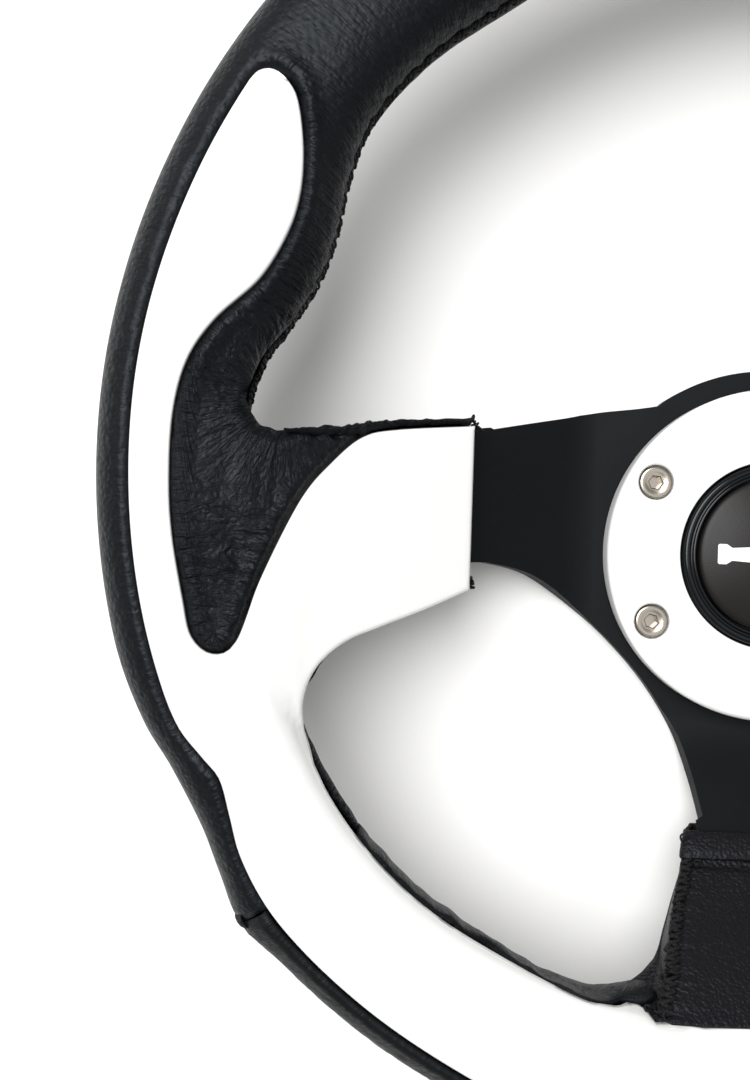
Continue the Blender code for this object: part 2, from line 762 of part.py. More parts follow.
def make_seam_thread(material):
    """The lacing along the inside seam of the upper cover."""
    points = []
    for k, clock in enumerate(spread(-UPPER_END + 1, UPPER_END - 1, 2.0)):
        x, y = polar(clock, read_table(RIM_INNER, abs(clock)) - THREAD_CLEAR)
        points.append(Vector((x, y, RIM_Z + (1.4 if k % 2 else -1.4))))
    return make_thread("upper_seam_thread", points, material)


def make_panel_thread(name, side, material):
    """The stitches across the joint between a side cover and the lower cover."""
    points = []
    for k, turn in enumerate(spread(32, -80, 14)):
        clock = PANEL_SEAM + (1.0 if k % 2 else -1.0)
        points.append(rim_point(side * clock, turn, -THREAD_CLEAR))
    return make_thread(name, points, material)


def make_cover_thread(name, side, material):
    """The cross stitching down one edge of the bottom spoke's cover."""
    points = []
    steps = 17
    for k in range(steps + 1):
        y = -91.6 + (-115.6 + 91.6) * k / steps
        front, crown = read_table(COVER_FRONT, y), read_table(COVER_Z, y)
        outer = Vector((-front - 1.9, y, crown - 1.4))
        inner = Vector((-front - 0.2, y, crown + THREAD_CLEAR + 0.2))
        points.append(outer if k % 2 else inner)
    return make_thread(name, mirrored(points, side), material)


# ---------------------------------------------------------------- hub plate


def circle(centre, radius, count):
    return [
        Vector((centre[0] + radius * math.cos(math.tau * k / count),
                centre[1] + radius * math.sin(math.tau * k / count)))
        for k in range(count)
    ]


def bolt_places():
    return [
        Vector((BOLT_CIRCLE * math.cos(math.radians(angle)),
                HUB_Y + BOLT_CIRCLE * math.sin(math.radians(angle))))
        for angle in BOLT_ANGLES
    ]


def make_plate(material):
    start = math.degrees(math.atan2(PLATE_TOP[0][1], PLATE_TOP[0][0]))
    arc = [
        Vector((math.cos(math.radians(a)), math.sin(math.radians(a)))) * HUB_RADIUS
        for a in spread(90, start, 6)[:-1]
    ]
    tab_x, tab_top, tab_bottom = SIDE_TAB
    left = [
        *arc, *spline(PLATE_TOP, 7.0), Vector((-SIDE_BEND[1], tab_top)),
        Vector((tab_x, tab_top)), Vector((tab_x, tab_bottom)),
        Vector((-SIDE_BEND[1], tab_bottom)), *spline(PLATE_FLANK, 6.0),
        Vector(BOTTOM_TAB) + Vector((0.0, 20.0)), Vector(BOTTOM_TAB),
    ]
    right = [Vector((-p.x, p.y)) for p in reversed(left[1:])]
    loop = [Vector((p.x, p.y + HUB_Y)) for p in [*left, *right]]
    holes = [circle((0.0, HUB_Y), HUB_HOLE, 40)]
    holes += [circle(place, BOLT_HOLE, 10) for place in bolt_places()]
    holes += [circle(p, RIVET_SHANK + GAP, 10) for p in rivet_places().values()]
    bends = [
        ((side * x, HUB_Y - 20.0), (side * x, HUB_Y + 45.0)) for side in (-1, 1)
        for x in SIDE_BEND
    ]
    bends += [((-30.0, HUB_Y - y), (30.0, HUB_Y - y)) for y in BOTTOM_BEND]
    placed, triangles = fill_outline([loop, *holes], lines=bends)
    used = sorted({k for triangle in triangles for k in triangle})
    index = {k: i for i, k in enumerate(used)}
    points = [(placed[k].x, placed[k].y, plate_rear(placed[k].x, placed[k].y)) for k in used]
    faces = [tuple(index[k] for k in triangle) for triangle in triangles]
    plate = make_object("spoke_plate", points, faces, material)
    thicken(plate, PLATE, offset=1.0, even=True)
    return plate


# ---------------------------------------------------------------- horn ring and push


def make_ring(material, hidden):
    low, high = RING_Z
    profile = [
        (RING_INNER, low), (RING_OUTER, low), (RING_OUTER, high - 1.6),
        (RING_OUTER - 1.4, high), (RING_INNER + 0.6, high), (RING_INNER, high - 0.6),
    ]
    ring = make_lathe("horn_ring", profile, material, (0.0, HUB_Y), segments=48)
    step = high - COUNTERBORE_DEPTH
    for number, place in enumerate(bolt_places(), 1):
        profile = [
            (0.0, low - 1), (BOLT_HOLE, low - 1), (BOLT_HOLE, step),
            (SCREW_HEAD + GAP, step), (SCREW_HEAD + GAP, high + 1), (0.0, high + 1),
        ]
        cutter = make_lathe(
            f"counterbore_{number}", profile, hidden, place, segments=12, closed=False
        )
        cut(ring, hide_as_cutter(cutter))
    return ring


def make_ring_screw(number, place, material, hidden):
    top = RING_Z[1] - 0.7
    under = RING_Z[1] - COUNTERBORE_DEPTH + GAP
    profile = [
        (0.0, GAP), (SCREW_SHANK, GAP), (SCREW_SHANK, under), (SCREW_HEAD, under),
        (SCREW_HEAD, top - 0.5), (SCREW_HEAD - 0.5, top), (0.0, top),
    ]
    screw = make_lathe(
        f"ring_screw_{number}", profile, material, place, segments=12, closed=False
    )
    corner = HEX_KEY / 2 / math.cos(math.radians(30))
    socket = [(0.0, top - 2.0), (corner, top - 2.0), (corner, top + 1), (0.0, top + 1)]
    cutter = make_lathe(f"socket_{number}", socket, hidden, place, segments=6, closed=False)
    cut(screw, hide_as_cutter(cutter))
    return screw


def make_horn_housing(material):
    """The fixed cup of the horn push: floor, wall, undercut for the cap, grooved lip."""
    floor, inside = HORN_FLOOR_Z
    top, wall = BEZEL_CREST_Z, CAP_FLANGE + 0.45
    profile = [
        (HORN_FLOOR_HOLE, floor), (HUB_HOLE - 0.4, floor), (HUB_HOLE - 0.4, PLATE + GAP),
        (BEZEL_RADIUS, PLATE + GAP), (BEZEL_RADIUS, top - 0.9), (BEZEL_RADIUS - 0.7, top - 0.1),
        (21.6, top), (21.3, top - 0.6), (20.8, top - 0.6), (20.5, top - 0.1),
        (BEZEL_BORE, top - 0.3), (BEZEL_BORE, CAP_FLANGE_Z[1] + GAP),
        (wall, CAP_FLANGE_Z[1] + GAP), (wall, 6.0), (19.7, 6.0), (19.7, inside),
        (HORN_FLOOR_HOLE, inside),
    ]
    return make_lathe("horn_bezel", profile, material, (0.0, HUB_Y), segments=40)


def cap_height(radius):
    return CAP_CREST_Z - (CAP_CREST_Z - CAP_RIM_Z) * (radius / CAP_RADIUS) ** 2


def make_horn_cap(material):
    dome = [(radius, cap_height(radius)) for radius in (0.0, 7.0, 13.0, 17.0, 18.9)]
    profile = [
        *dome, (CAP_RADIUS, CAP_RIM_Z - 0.5), (CAP_RADIUS, CAP_FLANGE_Z[1]),
        (CAP_FLANGE, CAP_FLANGE_Z[1]), (CAP_FLANGE, CAP_FLANGE_Z[0]),
        (CAP_BORE, CAP_FLANGE_Z[0]), (CAP_BORE, CAP_ROOF_Z), (0.0, CAP_ROOF_Z),
    ]
    return make_lathe("horn_cap", profile, material, (0.0, HUB_Y), 40, closed=False)


def make_horn_emblem(material):
    """A plain bugle pictogram that stands a little proud of the cap."""
    half = [
        (-15.3, 2.5), (-13.0, 2.5), (-11.9, 1.6), (0.0, 2.7), (7.2, 4.7), (12.0, 9.0),
        (13.8, 9.0), (14.6, 4.5), (14.8, 0.0),
    ]
    edge = spline(half, 2.2)
    loop = [*edge[:-1], *[Vector((p.x, -p.y)) for p in reversed(edge)]]
    placed, triangles = fill_outline([loop], points_between(loop, 2.2))
    points = [(p.x, p.y + HUB_Y, cap_height(p.length) + GAP) for p in placed]
    emblem = make_object("horn_emblem", points, triangles, material)
    thicken(emblem, 0.25, offset=1.0)
    return emblem


def make_contact(name, heights, material):
    low, high = heights
    inner, outer = CONTACT_INNER, CONTACT_OUTER
    profile = [(inner, low), (outer, low), (outer, high), (inner, high)]
    return make_lathe(name, profile, material, (0.0, HUB_Y), segments=24)


def make_horn_spring(material):
    low, high = SPRING_Z[0] + SPRING_WIRE, SPRING_Z[1] - SPRING_WIRE
    per_turn = 12
    count = SPRING_TURNS * per_turn
    points = []
    for k in range(count + 1):
        angle = math.tau * k / per_turn
        points.append(Vector((
            SPRING_RADIUS * math.cos(angle), HUB_Y + SPRING_RADIUS * math.sin(angle),
            low + (high - low) * k / count,
        )))
    return make_thread("horn_spring", points, material, radius=SPRING_WIRE, sides=5)


def make_terminal(name, side, material):
    x, half, width = side * TERMINAL_X, TERMINAL_HALF_LENGTH, TERMINAL_HALF_WIDTH
    low = (x - half, HUB_Y - width, TERMINAL_Z[0])
    return make_block(name, low, (x + half, HUB_Y + width, TERMINAL_Z[1]), material)


# ---------------------------------------------------------------- assembly


def main():
    clear_scene()
    leather = make_material("leather", (0.018, 0.019, 0.021), 0.55)
    foam = make_material("foam", (0.05, 0.05, 0.055), 0.9)
    steel = make_material("core_steel", (0.35, 0.35, 0.36), 0.45, 1.0)
    plate_black = make_material("plate_black", (0.018, 0.021, 0.025), 0.42, 0.6)
    inlay_white = make_material("inlay_white", (0.86, 0.86, 0.85), 0.12)
    ring_white = make_material("ring_white", (0.84, 0.84, 0.83), 0.3)
    nickel = make_material("nickel", (0.62, 0.6, 0.56), 0.28, 1.0)
    bezel_black = make_material("bezel_black", (0.008, 0.01, 0.014), 0.12)
    cap_black = make_material("cap_black", (0.03, 0.027, 0.026), 0.35)
    emblem_white = make_material("emblem_white", (0.8, 0.8, 0.79), 0.4)
    brass = make_material("brass", (0.75, 0.55, 0.25), 0.35, 1.0)
    thread = make_material("thread", (0.02, 0.02, 0.022), 0.8)
    hidden = make_material("cutter", (1.0, 0.0, 0.0), 0.5)

    make_plate(plate_black)
    core = make_rim_core(steel)
    core_profile = [
        (CORE_INNER - 0.5, CORE_Z[0] - 0.5), (CORE_OUTER + 0.5, CORE_Z[0] - 0.5),
        (CORE_OUTER + 0.5, CORE_Z[1] + 0.5), (CORE_INNER - 0.5, CORE_Z[1] + 0.5),
    ]
    cutters = [hide_as_cutter(make_lathe("core_cavity", core_profile, hidden, segments=64))]
    tabs = []
    for name, low, high in tab_blocks(0.45):
        tabs.append(hide_as_cutter(make_block(f"{name}_slot", low, high, hidden)))
    cutters += tabs
    for name, centre in rivet_places().items():
        make_rivet(name, centre, steel)
        bore = rivet_cutter(
            name + "_bore", centre, RIVET_SHANK + GAP, CORE_Z[0] - 1, CORE_Z[1] + 1, hidden
        )
        cut(core, bore)
        cutters.append(rivet_cutter(
            name + "_pocket", centre, RIVET_HEAD + GAP, PLATE_TAB_Z - GAP - RIVET_DOME - GAP,
            CORE_Z[1] + GAP + RIVET_DOME + GAP, hidden,
        ))
    make_rim_foam(foam, cutters)

    make_upper_leather(leather)
    left = make_side_leather("left_rim_leather", 1, leather)
    right = make_side_leather("right_rim_leather", -1, leather)
    lower = make_lower_leather(leather)
    for cover, slot in zip((left, right, lower), tabs):
        cut(cover, slot)
    make_inlay(inlay_white)
    for name, side in (("left", 1), ("right", -1)):
        make_thumb_grip(f"{name}_thumb_grip", side, leather)
        make_sleeve(f"{name}_spoke_leather", side, leather)
        make_spoke_foam(f"{name}_spoke_foam", side, foam)
        make_panel_thread(f"{name}_panel_thread", side, thread)
        make_cover_thread(f"cover_{name}_thread", side, thread)
    make_cover(leather)
    make_collar(leather)
    make_seam_thread(thread)

    make_ring(ring_white, hidden)
    for number, place in enumerate(bolt_places(), 1):
        make_ring_screw(number, place, nickel, hidden)
    make_horn_housing(bezel_black)
    make_horn_cap(cap_black)
    make_horn_emblem(emblem_white)
    make_contact("horn_moving_contact", MOVING_CONTACT_Z, brass)
    make_contact("horn_fixed_contact", FIXED_CONTACT_Z, brass)
    make_horn_spring(nickel)
    make_terminal("horn_terminal_1", 1, brass)
    make_terminal("horn_terminal_2", -1, brass)


main()
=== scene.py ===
"""Looks of the sport steering wheel: stitched leather, gloss inlay, plate, horn ring and push.

Shapes are worked out in millimetres about the rim's centre, as the part's own are, and every
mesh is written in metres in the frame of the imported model. The clock angle runs from twelve
o'clock down the left side to 180; the turn runs round the rim's section: 0 outside, 90
front, 180 inside, -90 rear.
"""

import math

import bmesh
import bpy
import numpy as np
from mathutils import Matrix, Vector
from mathutils.geometry import delaunay_2d_cdt


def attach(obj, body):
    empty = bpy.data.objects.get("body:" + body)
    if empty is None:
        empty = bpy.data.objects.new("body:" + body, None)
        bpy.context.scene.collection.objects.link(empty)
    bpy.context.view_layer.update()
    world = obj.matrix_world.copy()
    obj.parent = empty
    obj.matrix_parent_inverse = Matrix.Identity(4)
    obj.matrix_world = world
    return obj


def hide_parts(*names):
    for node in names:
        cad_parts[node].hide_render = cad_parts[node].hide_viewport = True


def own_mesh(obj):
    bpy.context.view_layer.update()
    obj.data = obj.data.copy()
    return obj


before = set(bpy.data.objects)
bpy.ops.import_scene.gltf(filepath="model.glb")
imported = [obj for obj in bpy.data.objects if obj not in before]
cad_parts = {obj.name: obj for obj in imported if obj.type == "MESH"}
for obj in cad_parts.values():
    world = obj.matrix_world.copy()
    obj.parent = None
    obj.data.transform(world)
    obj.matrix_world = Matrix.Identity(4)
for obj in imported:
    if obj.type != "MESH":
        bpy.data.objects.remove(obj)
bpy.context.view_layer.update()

MM = 0.001
FRAME_Y = -2.5
HUB_Y = -17.3
WHEEL, PUSH = "wheel", "horn_push"

RIM_Z, RIM_HALF_HEIGHT, RIM_SQUARENESS = 47.4, 13.4, 2.6
RIM_OUTER = [
    (0, 160.8), (104, 160.8), (111, 159.4), (115, 157.4), (120, 157.0),
    (124, 158.8), (128, 161.2), (132, 159.6),
    (140, 158.0), (150, 156.2), (165, 155.8), (180, 155.8),
]
RIM_INNER = [
    (0, 125.2), (36, 125.4), (46, 127.4), (55, 127.4), (61, 124.4), (66, 121.4),
    (71, 120.8), (75.5, 123.0), (80, 127.0), (84.5, 129.0), (90, 128.0), (112, 128.0),
    (122, 128.8), (134, 128.3), (142, 126.6), (150, 124.4), (158, 122.0), (180, 122.0),
]
INLAY_OUTER = [
    (59.2, 151.0), (66, 151.4), (80, 152.0), (95, 152.0), (107, 151.7), (112, 151.0),
    (115, 148.6), (117, 147.2), (120, 148.8), (123, 151.0), (127, 152.2), (131, 152.2),
    (138, 151.0), (148, 149.0), (160, 147.7), (180, 147.1),
]
INLAY_TIP = [(-129.6, 77.4), (-127.6, 79.4), (-124.6, 79.6), (-121.6, 77.4)]
INLAY_THUMB = [
    (-119.2, 73.2), (-117.8, 63.7), (-118.2, 54.3), (-120.7, 45.8), (-126.1, 36.4),
    (-135.0, 27.6), (-140.4, 19.0), (-142.9, 8.0), (-143.2, -5.6), (-142.2, -17.0),
    (-139.6, -30.0), (-137.6, -37.6), (-133.3, -41.0), (-128.8, -38.6), (-124.4, -25.6),
    (-116.8, -8.6), (-110.8, -0.4), (-104.0, 6.0), (-96.0, 8.4), (-78.0, 10.9),
]
INLAY_LOWER = [
    (-78.0, -27.5), (-87.6, -31.7), (-98.9, -36.0), (-106.0, -38.9), (-111.0, -42.9),
    (-113.7, -47.2), (-114.9, -52.5), (-114.3, -58.5),
]
INLAY_INNER = [
    (119.5, 129.3), (123, 129.7), (128, 129.7), (134, 129.1), (138, 128.3), (142, 127.2),
    (146, 126.1), (150.4, 125.1), (155.0, 124.1), (156.8, 123.3), (158.2, 122.7),
    (159.0, 122.2), (159.6, 121.9), (160.4, 121.6),
]
INLAY_FOOT = [
    (-39.4, -115.2), (-37.8, -116.9), (-32.5, -117.5), (-27.1, -118.1), (-18.0, -117.6),
]
INLAY_FOOT_Y, INLAY_FOOT_Z, FOOT_ZONE_Y = -117.9, 52.4, -100.0
SPOKE_END_X, SPOKE_END_Z, SPOKE_SLOPE, SPOKE_CREST_Z = 78.0, 29.5, 0.6, 58.4
WING_TOP = [
    (-104.6, 6.9), (-107.5, 6.9), (-113.0, 6.7), (-117.5, 6.2), (-120.6, 5.7),
    (-123.5, 5.95), (-125.2, 6.8), (-126.6, 8.2), (-127.8, 10.1),
]
WING_CLOCK = 84.6
PANEL_SEAM, SEAM_STEP = 127.8, 0.06
SEAM_TURN = 179.1
LEATHER, INLAY = 1.2, 2.2
FAN_CENTRE, FAN_RADIUS = np.array((-120.5, 12.5)), 9.0
GROOVE = 0.55  # leather stands this far from the inlay
R0 = 141 * math.pi / 180  # flattened millimetres per degree of clock
K0 = 0.29  # flattened millimetres per degree of turn
CREST_EASE, FOOT_EASE, BEND_EASE = 7.0, 2.5, 6.0  # widths that creases are eased over
FLAT_CLOCKS = (77, 86)  # the cover's front goes from the rim's round to the spoke's flat
HEM_CLOCKS = (78, 84)  # the tucked hem of the window fades out on the front
PAD_CLOCKS, PAD_RADII = (71, 83), (138, 146)  # the thumb pad's edges
INLAY_CLOCKS = (120, 160.4)  # the inlay's inner edge below the spokes
BAND_CLOCKS = (143, 148)  # the narrow band of hide inside the inlay begins
LIP_CLOCKS = (160.2, 162.8)  # and it goes back to the rear seam
EDGE_STEPS = (0, 0.3, 0.6, 1.0, 1.5)  # rows near a rolled edge of the lower cover

LOWER_SHIFT = [
    (140, 0.0), (146, 0.3), (150, 1.0), (153, 1.5), (156, 1.2), (158, 0.0), (159.3, -1.8),
    (161.5, -3.8), (163.5, -1.2), (165, 0.0),
]
SLEEVE_TOP = [
    (-79.0, 12.7), (-91.0, 11.2), (-100.0, 9.7), (-108.0, 7.9), (-117.5, 6.5),
    (-123.0, 6.2),
]
SLEEVE_BOTTOM = [
    (-79.0, -27.6), (-88.0, -31.4), (-98.9, -35.6), (-106.0, -38.5), (-110.6, -42.6),
    (-113.6, -47.6),
]
SLEEVE_CLOCK = (86.4, 114.0)
SLEEVE_BELOW_PLATE = 3.0
COVER_EDGE = [  # where the bottom cover turns from its front to its sides
    (-23.3, -85.9, 22.9), (-25.6, -92.5, 27.6), (-28.6, -98.6, 33.4),
    (-31.2, -104.6, 40.0), (-33.1, -109.4, 45.2), (-34.6, -113.4, 49.0),
    (-37.0, -117.4, 52.5),
]
COVER_SKIRT = [  # rear corner of its sides
    (-20.6, -86.2, 15.0), (-23.2, -93.0, 19.0), (-26.4, -99.6, 23.0),
    (-29.5, -105.6, 28.0), (-32.8, -110.3, 34.0), (-37.4, -112.4, 40.0),
    (-43.0, -114.0, 45.0),
]
COVER_WALL = [  # halfway up its sides
    (-22.6, -86.0, 19.5), (-25.0, -92.8, 23.5), (-28.1, -99.3, 28.4),
    (-30.9, -105.3, 34.0), (-33.3, -110.1, 39.8), (-36.6, -113.2, 45.0),
    (-40.2, -115.0, 50.0),
]
PLATE, PLATE_TAB_Z = 4.0, 38.3
HUB_RADIUS, HUB_HOLE, BOLT_CIRCLE, BOLT_HOLE = 47.4, 21.5, 35.0, 2.8
SIDE_BEND, BOTTOM_BEND = (50.0, 118.0), (47.0, 99.7)
PLATE_TOP = [(-28.5, 37.6), (-33.5, 36.7), (-50.0, 34.3), (-75.0, 28.6)]
PLATE_FLANK = [
    (-75.0, -3.9), (-62.3, -7.0), (-46.9, -17.0), (-36.0, -27.0), (-27.8, -37.0),
    (-22.0, -47.0), (-19.4, -57.2), (-18.1, -67.4),
]
SIDE_TAB, BOTTOM_TAB = (-148.0, 21.5, -3.9), (-19.0, -130.7)
RIVETS, RIVET_RADIUS, RIVET_HOLE = (90.2, 95.6, -90.2, -95.6, 175.2, -175.2), 144.6, 2.65
RING_OUTER, RING_INNER, RING_LOW, RING_HIGH = 42.0, 23.7, 4.3, 10.7
SCREW_HEAD, SCREW_GAP, HEXAGON = 4.1, 0.35, 3.0
CAP_TOP, CAP_DOME, CAP_RADIUS = 15.2, 3.0, 19.4
COIL_TURNS, COIL_LOW, COIL_HIGH, COIL_RADIUS, COIL_WIRE = 4, 3.8, 10.2, 7, 0.45
COVER_FINE = 5  # columns between two of the bottom cover's control points
EDGE_COLUMN = 6 * COVER_FINE
SPIN_MERGE = 2e-3
FLOOR_HALF, FLOOR_DROP = 2.4, 0.0004  # metres, as are the next two
CAMERA_PLACE, CAMERA_TURN, CAMERA_LENS = (-0.1006, -0.0191, 0.282), 1.85, 36.0
LIGHT_AIM = Vector((-0.05, 0.0, 0.03))


# ---- curves and heights


def read_table(table, at):
    """A smooth curve through (position, value) pairs, flat beyond both ends."""
    if at <= table[0][0]:
        return table[0][1]
    if at >= table[-1][0]:
        return table[-1][1]
    step = next(i for i in range(len(table) - 1) if at <= table[i + 1][0])

    def slope(i):
        if i in (0, len(table) - 1):
            return 0.0
        (a, before), (b, after) = table[i - 1], table[i + 1]
        return (after - before) / (b - a)

    (start, low), (end, high) = table[step], table[step + 1]
    span = end - start
    t = (at - start) / span
    return (
        low * (1 + 2 * t) * (1 - t) ** 2
        + slope(step) * span * t * (1 - t) ** 2
        + high * t * t * (3 - 2 * t)
        + slope(step + 1) * span * t * t * (t - 1)
    )


def dense(table):
    """The table's curve as samples that np.interp reads."""
    at = np.linspace(table[0][0], table[-1][0], 1600)
    return at, np.array([read_table(table, a) for a in at])


OUTER, INNER = dense(RIM_OUTER), dense(RIM_INNER)
BORDER_OUT, BORDER_IN = dense(INLAY_OUTER), dense(INLAY_INNER)


def look(samples, at):
    """A sampled curve at clock angles of either side."""
    return np.interp(np.abs(at), *samples)


def smoothstep(low, high, value):
    """0 below low, 1 above high, and smooth between them."""
    t = np.clip((value - low) / (high - low), 0, 1)
    return t * t * (3 - 2 * t)


def smooth_max(a, b, width):
    """The larger of two heights, with the crease between them eased over a width."""
    h = np.clip(0.5 + 0.5 * (a - b) / width, 0, 1)
    return b + (a - b) * h + 0.5 * width * h * (1 - h)


def hump(distance, width):
    """1 at no distance, and fading to nothing over about two widths."""
    return np.exp(-(distance / width) ** 2)


def bulged(value, power):
    """The power of a value that keeps its sign."""
    return np.sign(value) * np.abs(value) ** power


def spread(start, end, step):
    """Even values from start to end, about step apart."""
    return np.linspace(start, end, max(1, round(abs(end - start) / step)) + 1)


def catmull_rom(a, b, c, d, t):
    """Share t of the way from b to c on the curve through four points."""
    return 0.5 * (2 * b + (c - a) * t + (2 * a - 5 * b + 4 * c - d) * t * t
                  + (3 * b - a - 3 * c + d) * t ** 3)


def spline(points, spacing):
    """Points about spacing apart on a smooth curve through points of any dimension."""
    corners = np.array(points, float)
    found = []
    for i in range(len(corners) - 1):
        a, b = corners[max(i - 1, 0)], corners[i]
        c, d = corners[i + 1], corners[min(i + 2, len(corners) - 1)]
        steps = max(1, round(float(np.linalg.norm(c - b)) / spacing))
        found.append(catmull_rom(a, b, c, d, (np.arange(steps) / steps)[:, None]))
    return np.vstack([*found, corners[-1:]])


def polar(clock, radius):
    """Plan points at clock angles, positive to the left."""
    angle = np.radians(clock)
    return np.stack([-radius * np.sin(angle), radius * np.cos(angle)], -1)


def plan_to_polar(points):
    """(clock, radius) of plan points; the clock is the same on both sides."""
    x, y = points[..., 0], points[..., 1]
    return np.degrees(np.arctan2(np.abs(x), y)), np.hypot(x, y)


def section(clock, shift=0.0):
    """Middle radius and half width of the rim, its inside moved out by shift."""
    inner, outer = look(INNER, clock) + shift, look(OUTER, clock)
    return (inner + outer) / 2, (outer - inner) / 2


def rim_points(clock, turn, shift=0.0):
    """Points on the rim's skin, and the unit vectors that point out of its section."""
    middle, half = section(clock, shift)
    c, s = np.cos(np.radians(turn)), np.sin(np.radians(turn))
    across, above = bulged(c, 2 / RIM_SQUARENESS), bulged(s, 2 / RIM_SQUARENESS)
    radius = middle + half * across
    z = RIM_Z + RIM_HALF_HEIGHT * above
    out_r = bulged(across, RIM_SQUARENESS - 1) / half
    out_z = bulged(above, RIM_SQUARENESS - 1) / RIM_HALF_HEIGHT
    size = np.hypot(out_r, out_z)
    side = polar(clock, 1.0) * (out_r / size)[..., None]
    return (np.concatenate([polar(clock, radius), z[..., None]], -1),
            np.concatenate([side, (out_z / size)[..., None]], -1))


def turn_at(clock, radius, shift=0.0):
    """The turn, on the front, at which the rim's skin is at a radius."""
    middle, half = section(clock, shift)
    across = np.clip((radius - middle) / half, -1, 1)
    return np.degrees(np.arccos(bulged(across, RIM_SQUARENESS / 2)))


def front_height(points):
    """Height of the covered front over plan points, with its creases eased."""
    clock, radius = plan_to_polar(points)
    middle, half = section(clock)
    across = np.clip(np.abs(radius - middle) / half, 0, 1)
    crown = RIM_HALF_HEIGHT * (1 - across ** RIM_SQUARENESS) ** (1 / RIM_SQUARENESS)
    crown = np.where(across < 1, RIM_Z + crown, 0.0)
    x, y = np.abs(points[..., 0]), points[..., 1]
    spoke = SPOKE_END_Z + SPOKE_SLOPE * (x - SPOKE_END_X)
    foot = INLAY_FOOT_Z + SPOKE_SLOPE * (INLAY_FOOT_Y - y)
    rise = -smooth_max(-np.where(y < FOOT_ZONE_Y, foot, spoke), -SPOKE_CREST_Z, CREST_EASE)
    return np.where(radius > middle, np.maximum(crown, RIM_Z),
                    smooth_max(crown, rise, FOOT_EASE))


def plate_rear(points):
    """Height of the plate's rear face, with its bends eased."""
    x, y = np.abs(points[..., 0]), points[..., 1]
    down = HUB_Y - y
    bottom = (down > BOTTOM_BEND[0] - BEND_EASE) & (x < 45)
    along = np.where(bottom, down, x)
    start = np.where(bottom, BOTTOM_BEND[0], SIDE_BEND[0])
    end = np.where(bottom, BOTTOM_BEND[1], SIDE_BEND[1])
    slope = PLATE_TAB_Z / (end - start)

    def bend(past):
        eased = (past + BEND_EASE) ** 2 / (4 * BEND_EASE)
        return np.where(past < -BEND_EASE, 0, np.where(past > BEND_EASE, past, eased))

    return slope * (bend(along - start) - bend(along - end))


# ---- meshes


def make_object(name, points, faces, material, replaces, body=WHEEL, smooth=True):
    """A piece from points in millimetres about the rim's centre, riding on its body."""
    points = np.asarray(points, float) + (0.0, FRAME_Y, 0.0)
    mesh = bpy.data.meshes.new(name)
    mesh.from_pydata((points * MM).tolist(), [], [tuple(map(int, f)) for f in faces])
    mesh.materials.append(material)
    if smooth:
        mesh.shade_smooth()
    item = bpy.data.objects.new(name, mesh)
    bpy.context.scene.collection.objects.link(item)
    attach(item, body)
    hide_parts(*replaces)
    return item


def thicken(item, thickness, offset=-1.0, even=False):
    """Gives a surface its thickness, inwards or (offset 1) outwards."""
    modifier = item.modifiers.new("thickness", "SOLIDIFY")
    modifier.thickness = thickness * MM
    modifier.offset = offset
    modifier.use_even_offset = even
    modifier.use_quality_normals = True


def set_uv(item, u, v, name="seam"):
    """Stores along-the-seam and away-from-the-seam millimetres, over 100, per corner."""
    mesh = item.data
    layer = mesh.uv_layers.new(name=name)
    index = np.empty(len(mesh.loops), np.int32)
    mesh.loops.foreach_get("vertex_index", index)
    layer.data.foreach_set("uv", (np.stack([u[index], v[index]], -1) / 100).ravel())


def set_value(item, name, values):
    """Stores one number per point for a material to read."""
    layer = item.data.attributes.new(name, "FLOAT", "POINT")
    layer.data.foreach_set("value", np.asarray(values, np.float32))


def grid_faces(rows, columns, flip, closed=False):
    """Faces over a grid of points that is given row by row."""
    faces = []
    for i in range(rows - 1):
        for j in range(columns if closed else columns - 1):
            k = (j + 1) % columns
            a, b = i * columns + j, i * columns + k
            face = (a, b, b + columns, a + columns)
            faces.append(face[::-1] if flip else face)
    return faces


def inside(points, loop):
    """Which of the plan points lie inside the closed loop."""
    result = np.zeros(len(points), bool)
    for a, b in zip(loop, np.roll(loop, -1, axis=0)):
        crosses = (a[1] > points[:, 1]) != (b[1] > points[:, 1])
        with np.errstate(divide="ignore", invalid="ignore"):
            at = a[0] + (points[:, 1] - a[1]) / (b[1] - a[1]) * (b[0] - a[0])
        result ^= crosses & (points[:, 0] < at)
    return result


def nearest(points, line, closed=False):
    """(distance, length along the line) of the nearest place on a polyline."""
    ends = np.roll(line, -1, axis=0) if closed else line[1:]
    starts = line if closed else line[:-1]
    lengths = np.linalg.norm(ends - starts, axis=1)
    before = np.concatenate([[0], np.cumsum(lengths)[:-1]])
    best = np.full(len(points), 1e9)
    along = np.zeros(len(points))
    for a, b, size, start in zip(starts, ends, lengths, before):
        if size < 1e-9:
            continue
        way = (b - a) / size
        t = np.clip((points - a) @ way, 0, size)
        gap = np.linalg.norm(points - a - t[:, None] * way, axis=1)
        closer = gap < best
        best[closer] = gap[closer]
        along[closer] = start + t[closer]
    return best, along


def well_inside(points, loop, margin):
    """The plan points that are inside a loop and farther than margin from it."""
    points = points[inside(points, loop)]
    return points[nearest(points, loop, closed=True)[0] > margin]


def hex_grid(loop, spacing):
    """A grid of triangles' corners over the box of a loop."""
    low, high = loop.min(axis=0), loop.max(axis=0)
    rows = int((high[1] - low[1]) / (spacing * 0.866)) + 2
    columns = int((high[0] - low[0]) / spacing) + 2
    j, i = np.meshgrid(np.arange(rows), np.arange(columns), indexing="ij")
    x = low[0] + (i - 0.5 * (j % 2)) * spacing
    return np.stack([x.ravel(), (low[1] + j * spacing * 0.866).ravel()], -1)


